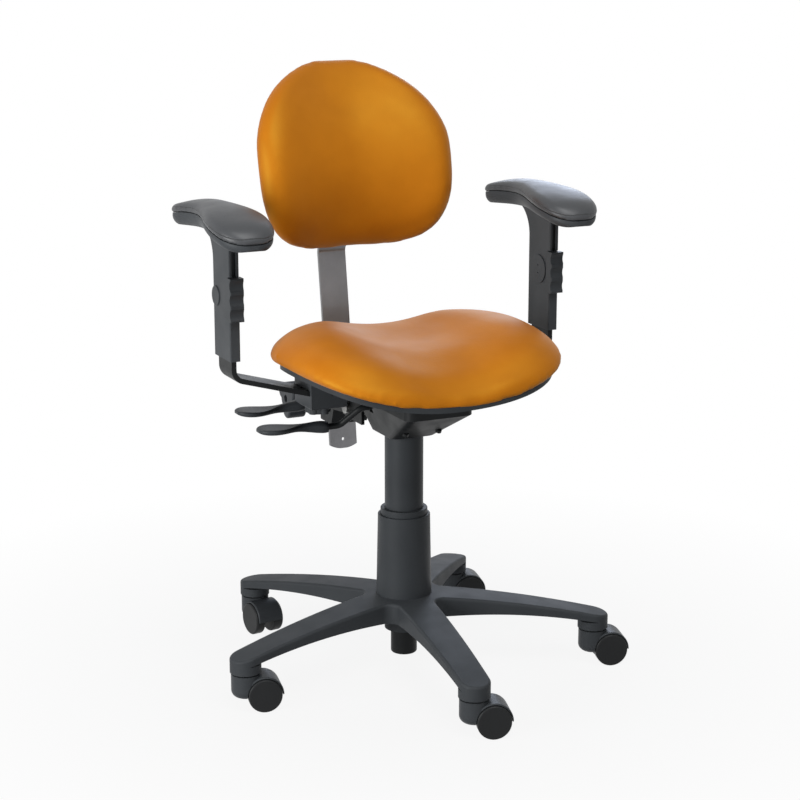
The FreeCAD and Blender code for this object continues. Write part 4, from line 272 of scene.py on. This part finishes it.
def self_skinning_foam():
    # Polyurethane foam with its own moulded skin: soft satin with a shallow leather-like grain, and one fine
    # groove that runs round the pad above its base. The groove is a relief, and its middle is also painted
    # dark, at 0.35 of the foam's colour, as painted shade in its hollow.
    colours = bpy.context.scene.chair_finishes
    material, tree, shader, place = start_material("self-skinning foam", colours.foam, 0.44)
    rise = add_node(tree, "ShaderNodeAttribute", attribute_name=RISE)
    above = add_node(tree, "ShaderNodeMath", {0: rise.outputs["Fac"]}, {1: GROOVE_RISE_MM * MM},
                     operation="SUBTRACT")
    aside = add_node(tree, "ShaderNodeMath", {0: above.outputs[0]}, operation="ABSOLUTE")
    groove = add_node(tree, "ShaderNodeMapRange", {"Value": aside.outputs[0]},
                      {"From Min": 0.0, "From Max": GROOVE_HALF_MM * MM, "To Min": 0.0, "To Max": 1.0},
                      interpolation_type="SMOOTHSTEP")
    grain = add_node(tree, "ShaderNodeTexVoronoi", {"Vector": place},
                     {"Scale": per_metre(1.6), "Randomness": 1.0})
    skin = add_node(tree, "ShaderNodeBump", {"Height": grain.outputs["Distance"]},
                    {"Distance": 0.12 * MM, "Strength": 0.25})
    relief = add_node(tree, "ShaderNodeBump",
                      {"Height": groove.outputs["Result"], "Normal": skin.outputs["Normal"]},
                      {"Distance": 0.8 * MM, "Strength": 0.8})
    tone = mottle(tree, place, colours.foam, toned(colours.foam, 0.9), size_mm=50.0)
    # painted shade: the groove's middle is coloured at 0.35 of the foam's tone, a dark line where shade would
    # fall
    painted_groove_shade = add_node(tree, "ShaderNodeMix", {MIX_FACTOR: groove.outputs["Result"], MIX_B: tone},
                      {MIX_A: (*toned(colours.foam, 0.35), 1)}, data_type="RGBA")
    shade(tree, shader, painted_groove_shade.outputs[MIX_RESULT], handled(tree, place, low=0.38, high=0.48, size_mm=35.0),
          relief.outputs["Normal"])
    return material


def powder_coat():
    # Baked polyester powder on steel: low orange-peel waves a few millimetres long.
    colours = bpy.context.scene.chair_finishes
    material, tree, shader, place = start_material("black powder coat", colours.coat, 0.42)
    shader.inputs["Specular IOR Level"].default_value = MATT_SPECULAR
    peel = add_node(tree, "ShaderNodeTexNoise", {"Vector": place}, {"Scale": per_metre(2.2), "Detail": 1.0})
    relief = add_node(tree, "ShaderNodeBump", {"Height": peel.outputs["Fac"]},
                      {"Distance": 0.1 * MM, "Strength": 0.25})
    shade(tree, shader, mottle(tree, place, colours.coat, toned(colours.coat, 0.85), size_mm=60.0),
          handled(tree, place, low=0.38, high=0.5, size_mm=30.0), relief.outputs["Normal"])
    return material


def drawn_steel(name, colour, roughness, lean=0.0):
    # Drawn or turned steel: fine lines along the length that stretch its highlights, and a slightly uneven
    # tone. The lines are drawn 0.7 mm wide, several times their real width, so that they show.
    material, tree, shader, place = start_material(name, colour, roughness, 1.0)
    lay = add_node(tree, "ShaderNodeMapping", {"Vector": place},
                   {"Rotation": (lean, 0, 0), "Scale": (1.0, 1.0, 0.02)})
    lines = add_node(tree, "ShaderNodeTexNoise", {"Vector": lay.outputs["Vector"]},
                     {"Scale": per_metre(0.7), "Detail": 2.0})
    relief = add_node(tree, "ShaderNodeBump", {"Height": lines.outputs["Fac"]},
                      {"Distance": 0.02 * MM, "Strength": 0.2})
    span = add_node(tree, "ShaderNodeMapRange", {"Value": lines.outputs["Fac"]},
                    {"From Min": NOISE_LOW, "From Max": NOISE_HIGH,
                     "To Min": roughness - 0.06, "To Max": roughness + 0.08})
    shade(tree, shader, mottle(tree, place, colour, toned(colour, 0.92), size_mm=25.0),
          span.outputs["Result"], relief.outputs["Normal"])
    return material


def birch_ply():
    # Rotary-cut birch: pale, with long soft grain that stands slightly proud.
    colours = bpy.context.scene.chair_finishes
    material, tree, shader, place = start_material("birch ply", colours.ply, 0.6)
    lay = add_node(tree, "ShaderNodeMapping", {"Vector": place}, {"Scale": (1.0, 0.12, 1.0)})
    grain = add_node(tree, "ShaderNodeTexNoise", {"Vector": lay.outputs["Vector"]},
                     {"Scale": per_metre(4.0), "Detail": 5.0})
    ramp = add_node(tree, "ShaderNodeValToRGB", {"Fac": grain.outputs["Fac"]})
    ramp.color_ramp.elements[0].color = (*toned(colours.ply, 0.7), 1)
    ramp.color_ramp.elements[1].color = (*colours.ply, 1)
    relief = add_node(tree, "ShaderNodeBump", {"Height": grain.outputs["Fac"]},
                      {"Distance": 0.1 * MM, "Strength": 0.3})
    shade(tree, shader, ramp.outputs["Color"], handled(tree, place, low=0.55, high=0.65, size_mm=30.0),
          relief.outputs["Normal"])
    return material


def dress(nodes, material):
    """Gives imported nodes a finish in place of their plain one."""
    for name in nodes:
        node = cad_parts[name]
        if not node.material_slots:
            node.data.materials.append(material)
        for index in range(len(node.material_slots)):
            node.material_slots[index].material = material


def closed_copy(node_name, piece_name):
    """Own copy of a packed soft solid, with its loose triangles joined, and a search tree of its surface."""
    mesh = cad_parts[node_name].data.copy()
    mesh.name = piece_name
    mesh.materials.clear()
    shape = bmesh.new()
    shape.from_mesh(mesh)
    bmesh.ops.remove_doubles(shape, verts=shape.verts, dist=JOIN_MM * MM)
    bmesh.ops.recalc_face_normals(shape, faces=shape.faces)
    shape.to_mesh(mesh)
    skin = BVHTree.FromBMesh(shape)
    shape.free()
    piece = bpy.data.objects.new(piece_name, mesh)
    bpy.context.scene.collection.objects.link(piece)
    return piece, skin


def evaluated_points(piece):
    """Places of a piece's points with its modifiers applied."""
    seen = piece.evaluated_get(bpy.context.evaluated_depsgraph_get())
    mesh = seen.to_mesh()
    points = [vertex.co.copy() for vertex in mesh.vertices]
    seen.to_mesh_clear()
    return points


def remeshed(piece, voxel):
    """Even quads over the whole piece, ready to act as cloth."""
    remesh = piece.modifiers.new("even", "REMESH")
    remesh.mode = "VOXEL"
    remesh.voxel_size = voxel
    bake_modifiers(piece)


def bake_modifiers(piece):
    """Gives a piece the mesh that its modifiers make."""
    seen = piece.evaluated_get(bpy.context.evaluated_depsgraph_get())
    mesh = bpy.data.meshes.new_from_object(seen)
    old = piece.data
    piece.modifiers.clear()
    piece.data = mesh
    bpy.data.meshes.remove(old)


def relaxed(piece, rounds, held):
    """Smooths the free points twice and takes off what the second pass drew in, so that the size stays."""
    shape = bmesh.new()
    shape.from_mesh(piece.data)
    free = [vertex for vertex in shape.verts if not held(vertex.normal)]
    passes = []
    for _ in range(2):
        for _ in range(rounds):
            bmesh.ops.smooth_vert(shape, verts=free, factor=SMOOTH_STEP,
                                  use_axis_x=True, use_axis_y=True, use_axis_z=True)
        passes.append([vertex.co.copy() for vertex in free])
    for vertex, once, twice in zip(free, *passes):
        vertex.co = once * 2 - twice
    shape.to_mesh(piece.data)
    shape.free()


def drawn_onto(piece, skin):
    """Brings a piece's points back onto the solid's own surface, so that edges stay full."""
    for vertex in piece.data.vertices:
        vertex.co = skin.find_nearest(vertex.co)[0]


def filled(piece, held):
    """Cloth cover filled from inside; points that `held` picks stay where they are."""
    padding = bpy.context.scene.chair_padding
    rest = [vertex.co.copy() for vertex in piece.data.vertices]
    normals = [vertex.normal.copy() for vertex in piece.data.vertices]
    pin = piece.vertex_groups.new(name="held")
    fixed = [index for index, normal in enumerate(normals) if held(normal)]
    pin.add(fixed, 1.0, "REPLACE")
    fixed = set(fixed)
    for index, vertex in enumerate(piece.data.vertices):
        if index not in fixed:
            vertex.co = rest[index] - normals[index] * padding.draw_in
    cloth = piece.modifiers.new("cover", "CLOTH")
    cloth.settings.vertex_group_mass = "held"
    cloth.settings.use_pressure = True
    cloth.settings.uniform_pressure_force = padding.pressure
    cloth.settings.effector_weights.gravity = 0.0
    cloth.settings.quality = CLOTH_QUALITY
    cloth.settings.tension_stiffness = CLOTH_STIFFNESS
    cloth.settings.compression_stiffness = CLOTH_STIFFNESS
    cloth.settings.bending_stiffness = CLOTH_BENDING
    cloth.collision_settings.use_collision = False
    scene = bpy.context.scene
    cloth.point_cache.frame_start = 1
    cloth.point_cache.frame_end = padding.frames
    for step in range(1, padding.frames + 1):
        scene.frame_set(step)
    points = evaluated_points(piece)
    piece.modifiers.clear()
    scene.frame_set(1)
    for index, vertex in enumerate(piece.data.vertices):
        move = points[index] - rest[index]
        if move.length > padding.swell:
            move = move.normalized() * padding.swell
        vertex.co = rest[index] if index in fixed else rest[index] + move


def finish_padded(piece, material, body, node):
    """Smooth, subdivided and placed on its body."""
    piece.vertex_groups.clear()
    piece.data.materials.clear()
    piece.data.materials.append(material)
    for polygon in piece.data.polygons:
        polygon.use_smooth = True
    subdivision = piece.modifiers.new("smooth", "SUBSURF")
    subdivision.levels = 1
    subdivision.render_levels = 1
    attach(piece, body)
    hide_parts(node)


def eased(piece, start, shares):
    """Blends the cover's crown into the rim, which stays on the solid's own surface."""
    for vertex, place, share in zip(piece.data.vertices, start, shares):
        vertex.co = place.lerp(vertex.co, share * share * (3 - 2 * share))


def padded_piece(node, piece_name, body, material, voxel, facing, limit, rounds):
    """A soft solid remade as a filled cover, drawn taut and held where it faces away from its crown."""
    towards = Vector(facing)

    def lean(normal):
        return normal.dot(towards) - limit

    def held(normal):
        return lean(normal) < 0

    def none_held(normal):
        return False

    piece, skin = closed_copy(node, piece_name)
    remeshed(piece, voxel)
    drawn_onto(piece, skin)
    start = [vertex.co.copy() for vertex in piece.data.vertices]
    shares = [min(max(lean(vertex.normal) / RIM_EASE, 0), 1) for vertex in piece.data.vertices]
    relaxed(piece, rounds, held)
    filled(piece, held)
    relaxed(piece, rounds, held)
    eased(piece, start, shares)
    relaxed(piece, rounds // EASE_PART, held)
    relaxed(piece, RIM_ROUNDS, none_held)
    finish_padded(piece, material, body, node)
    return piece


def tucked(piece):
    """Draws the lower rim of the seat's cover down over the edge of the tray."""
    padding = bpy.context.scene.chair_padding
    low = min(vertex.co.z for vertex in piece.data.vertices)
    for vertex in piece.data.vertices:
        share = 1 - min((vertex.co.z - low) / padding.tuck_height, 1.0)
        vertex.co.z -= padding.tuck * share * share


def mark_rise(piece):
    """Stores how high each point of a pad stands above the pad's underside."""
    points = [vertex.co for vertex in piece.data.vertices]
    slices = {}
    for point in points:
        step = round(point.y / (SLICE_MM * MM))
        slices[step] = min(point.z, slices.get(step, point.z))
    rise = piece.data.attributes.new(RISE, "FLOAT", "POINT")
    for index, point in enumerate(points):
        along = point.y / (SLICE_MM * MM)
        low, high = math.floor(along), math.ceil(along)
        floor_low = slices.get(low, slices[round(along)])
        floor_high = slices.get(high, slices[round(along)])
        rise.data[index].value = point.z - (floor_low + (floor_high - floor_low) * (along - low))


class CHAIR_OT_cushions(bpy.types.Operator):
    """Vinyl-covered seat and back cushions"""
    bl_idname = "chair.cushions"
    bl_label = "Seat and back cushions"

    def execute(self, context):
        vinyl = upholstery_vinyl()
        voxel = context.scene.chair_padding.voxel
        seat = padded_piece("seat_cushion", "seat_cover", "seat", vinyl, voxel,
                            UP, SEAT_HELD, CUSHION_ROUNDS)
        tucked(seat)
        padded_piece("back_cushion", "back_cover", "back", vinyl, voxel,
                     FORWARD, BACK_HELD, CUSHION_ROUNDS)
        return {"FINISHED"}


class CHAIR_OT_arm_pads(bpy.types.Operator):
    """Soft pads on both armrests"""
    bl_idname = "chair.arm_pads"
    bl_label = "Arm pads"

    def execute(self, context):
        foam = self_skinning_foam()
        voxel = context.scene.chair_padding.voxel * PAD_FINENESS
        for side in SIDES:
            pad = padded_piece("arm_pad_" + side, "arm_pad_skin_" + side, "arm_top_" + side,
                               foam, voxel, UP, PAD_HELD, PAD_ROUNDS)
            mark_rise(pad)
        return {"FINISHED"}


class CHAIR_OT_base(bpy.types.Operator):
    """Finishes of the five-arm base and the casters"""
    bl_idname = "chair.base"
    bl_label = "Base and casters"

    def execute(self, context):
        colours = bpy.context.scene.chair_finishes
        star = moulded_plastic("glass-filled nylon", colours.nylon, grit_mm=0.9, low=0.52, high=0.62)
        dress(["base_star"], star)
        hood = moulded_plastic("nylon hoods", colours.nylon, grit_mm=0.8, low=0.36, high=0.46)
        wheel = moulded_plastic("nylon wheels", colours.wheel, grit_mm=0.8, low=0.34, high=0.46)
        dress(["caster_hood_" + name for name in CASTERS], hood)
        for ring in ("inner", "outer"):
            dress(["caster_wheel_" + ring + "_" + name for name in CASTERS], wheel)
        dress(["caster_stems"], drawn_steel("zinc-plated steel", linear("#9A9A98"), roughness=0.32))
        return {"FINISHED"}


class CHAIR_OT_column(bpy.types.Operator):
    """Finishes of the column and its covers"""
    bl_idname = "chair.column"
    bl_label = "Column"

    def execute(self, context):
        colours = bpy.context.scene.chair_finishes
        cover = moulded_plastic("polypropylene covers", colours.cover, grit_mm=0.8, low=0.42, high=0.50)
        dress(["lower_cover", "middle_cover", "upper_cover"], cover)
        turned = drawn_steel("turned steel", linear("#A6A6A4"), roughness=0.28)
        dress(["retaining_clip", "thrust_bearing", "piston_rod", "pivot_bolt", "lever_pins", "seat_bolts",
               "back_bolts"], turned)
        dress(["stand_tube", "gas_cylinder"], powder_coat())
        return {"FINISHED"}


class CHAIR_OT_mechanism(bpy.types.Operator):
    """Finishes of the mechanism, levers and seat structure"""
    bl_idname = "chair.mechanism"
    bl_label = "Mechanism and levers"

    def execute(self, context):
        colours = bpy.context.scene.chair_finishes
        dress(["mechanism_housing", "seat_plate", "height_lever", "tilt_lever", "back_carrier"],
              powder_coat())
        shell = moulded_plastic("ABS shells", colours.cover, grit_mm=1.0, low=0.45, high=0.55)
        dress(["seat_shell", "back_shell"], shell)
        paddle = moulded_plastic("ABS levers", colours.cover, grit_mm=0.8, low=0.38, high=0.48)
        dress(["height_paddle", "tilt_paddle", "back_knob"], paddle)
        dress(["seat_board"], birch_ply())
        dress(["back_bar"], drawn_steel("cold-drawn steel bar", colours.bar, roughness=0.38, lean=BAR_LEAN))
        return {"FINISHED"}


class CHAIR_OT_arms(bpy.types.Operator):
    """Finishes of the arm brackets and plastic arm pieces"""
    bl_idname = "chair.arms"
    bl_label = "Arms"

    def execute(self, context):
        colours = bpy.context.scene.chair_finishes
        plastic = moulded_plastic("ABS arm mouldings", colours.arm, grit_mm=0.9, low=0.42, high=0.52)
        grip = moulded_plastic("nylon triggers", colours.cover, grit_mm=0.9, low=0.36, high=0.46)
        steel = powder_coat()
        for side in SIDES:
            dress([name + "_" + side for name in
                   ("arm_mount", "clamp_knob", "arm_sleeve", "latch_cap", "pad_base")], plastic)
            dress(["arm_trigger_" + side], grip)
            dress(["arm_bracket_" + side], steel)
        return {"FINISHED"}


def area_lamp(name, power, place, aim, size, colour=WHITE):
    """Soft rectangular lamp that points at a spot."""
    data = bpy.data.lights.new(name, "AREA")
    data.shape = "RECTANGLE"
    data.size, data.size_y = size
    data.energy = power
    data.color = colour
    lamp = bpy.data.objects.new(name, data)
    lamp.location = place
    lamp.rotation_euler = (Vector(aim) - Vector(place)).to_track_quat("-Z", "Y").to_euler()
    bpy.context.scene.collection.objects.link(lamp)


def seen_directly(tree):
    """One where the camera, a reflection or a clear material looks, and nought for the light cast."""
    path = add_node(tree, "ShaderNodeLightPath")
    shiny = add_node(tree, "ShaderNodeMath",
                     {0: path.outputs["Is Glossy Ray"], 1: path.outputs["Is Transmission Ray"]},
                     operation="MAXIMUM")
    return add_node(tree, "ShaderNodeMath", {0: path.outputs["Is Camera Ray"], 1: shiny.outputs[0]},
                    operation="MAXIMUM").outputs[0]


class CHAIR_OT_studio(bpy.types.Operator):
    """White floor, soft lamps and the camera"""
    bl_idname = "chair.studio"
    bl_label = "Studio"

    def execute(self, context):
        studio = context.scene.chair_studio
        scene = context.scene
        scene.view_settings.view_transform = "Standard"
        self.make_world(scene, studio)
        self.make_floor()
        area_lamp("side lamp", studio.side, **SIDE_LAMP)
        area_lamp("top lamp", studio.top, **TOP_LAMP)
        area_lamp("rim lamp", studio.rim, **RIM_LAMP, colour=linear("#DCE8FF"))
        camera = bpy.data.cameras.new("camera")
        camera.lens = studio.lens
        camera.sensor_width = SENSOR_MM
        camera.clip_end = CAMERA_REACH
        holder = bpy.data.objects.new("camera", camera)
        holder.location = studio.camera_place
        holder.rotation_euler = (math.pi / 2 - studio.camera_pitch, 0, studio.camera_turn)
        scene.collection.objects.link(holder)
        scene.camera = holder
        return {"FINISHED"}

    def make_world(self, scene, studio):
        """White to look at, and a weak even light."""
        world = bpy.data.worlds.new("studio")
        scene.world = world
        world.use_nodes = True
        tree = world.node_tree
        tree.nodes.clear()
        light = add_node(tree, "ShaderNodeBackground", values={"Color": (*WHITE, 1), "Strength": studio.fill})
        white = add_node(tree, "ShaderNodeBackground", values={"Color": (*WHITE, 1), "Strength": 1.0})
        mix = add_node(tree, "ShaderNodeMixShader",
                       {0: seen_directly(tree), 1: light.outputs[0], 2: white.outputs[0]})
        add_node(tree, "ShaderNodeOutputWorld", {"Surface": mix.outputs[0]})

    def make_floor(self):
        """Floor that looks white and takes a faint shadow near the chair."""
        shape = bmesh.new()
        bmesh.ops.create_grid(shape, x_segments=1, y_segments=1, size=FLOOR_HALF)
        mesh = bpy.data.meshes.new("floor")
        shape.to_mesh(mesh)
        shape.free()
        floor = bpy.data.objects.new("floor", mesh)
        bpy.context.scene.collection.objects.link(floor)
        material, tree, shader, place = start_material("matt white floor", linear("#A8A8A8"), 1.0)
        shader.inputs["Specular IOR Level"].default_value = 0.0
        glow = add_node(tree, "ShaderNodeEmission", values={"Color": (*WHITE, 1), "Strength": 1.0})
        reach = add_node(tree, "ShaderNodeVectorMath", {0: place}, operation="LENGTH")
        bright = add_node(tree, "ShaderNodeMapRange", {"Value": reach.outputs["Value"]},
                          {"From Min": SHADOW_NEAR, "From Max": SHADOW_FAR,
                           "To Min": GLOW_NEAR, "To Max": 1.0})
        share = add_node(tree, "ShaderNodeMath", {0: seen_directly(tree), 1: bright.outputs["Result"]},
                         operation="MULTIPLY")
        mix = add_node(tree, "ShaderNodeMixShader",
                       {0: share.outputs[0], 1: shader.outputs[0], 2: glow.outputs[0]})
        tree.links.new(mix.outputs[0], tree.nodes["Material Output"].inputs["Surface"])
        mesh.materials.append(material)


class CHAIR_PT_panel(bpy.types.Panel):
    """Buttons for each step, with the sizes and colours that they use"""
    bl_label = "Saddle chair"
    bl_idname = "CHAIR_PT_panel"
    bl_space_type = "VIEW_3D"
    bl_region_type = "UI"
    bl_category = "Chair"

    def draw(self, context):
        layout = self.layout
        for operator in STEPS:
            layout.operator(operator.bl_idname)
        scene = context.scene
        for group in (scene.chair_finishes, scene.chair_padding, scene.chair_studio):
            column = layout.column()
            for name in group.__annotations__:
                column.prop(group, name)


STEPS = (CHAIR_OT_studio, CHAIR_OT_base, CHAIR_OT_column, CHAIR_OT_mechanism, CHAIR_OT_arms,
         CHAIR_OT_cushions, CHAIR_OT_arm_pads)
CLASSES = (ChairFinishes, ChairPadding, ChairStudio) + STEPS + (CHAIR_PT_panel,)


def register():
    for cls in CLASSES:
        bpy.utils.register_class(cls)
    bpy.types.Scene.chair_finishes = bpy.props.PointerProperty(type=ChairFinishes)
    bpy.types.Scene.chair_padding = bpy.props.PointerProperty(type=ChairPadding)
    bpy.types.Scene.chair_studio = bpy.props.PointerProperty(type=ChairStudio)


def unregister():
    del bpy.types.Scene.chair_finishes
    del bpy.types.Scene.chair_padding
    del bpy.types.Scene.chair_studio
    for cls in reversed(CLASSES):
        bpy.utils.unregister_class(cls)


def main():
    register()
    bpy.ops.chair.studio()
    bpy.ops.chair.base()
    bpy.ops.chair.column()
    bpy.ops.chair.mechanism()
    bpy.ops.chair.arms()
    bpy.ops.chair.cushions()
    bpy.ops.chair.arm_pads()


if __name__ == "__main__":
    main()
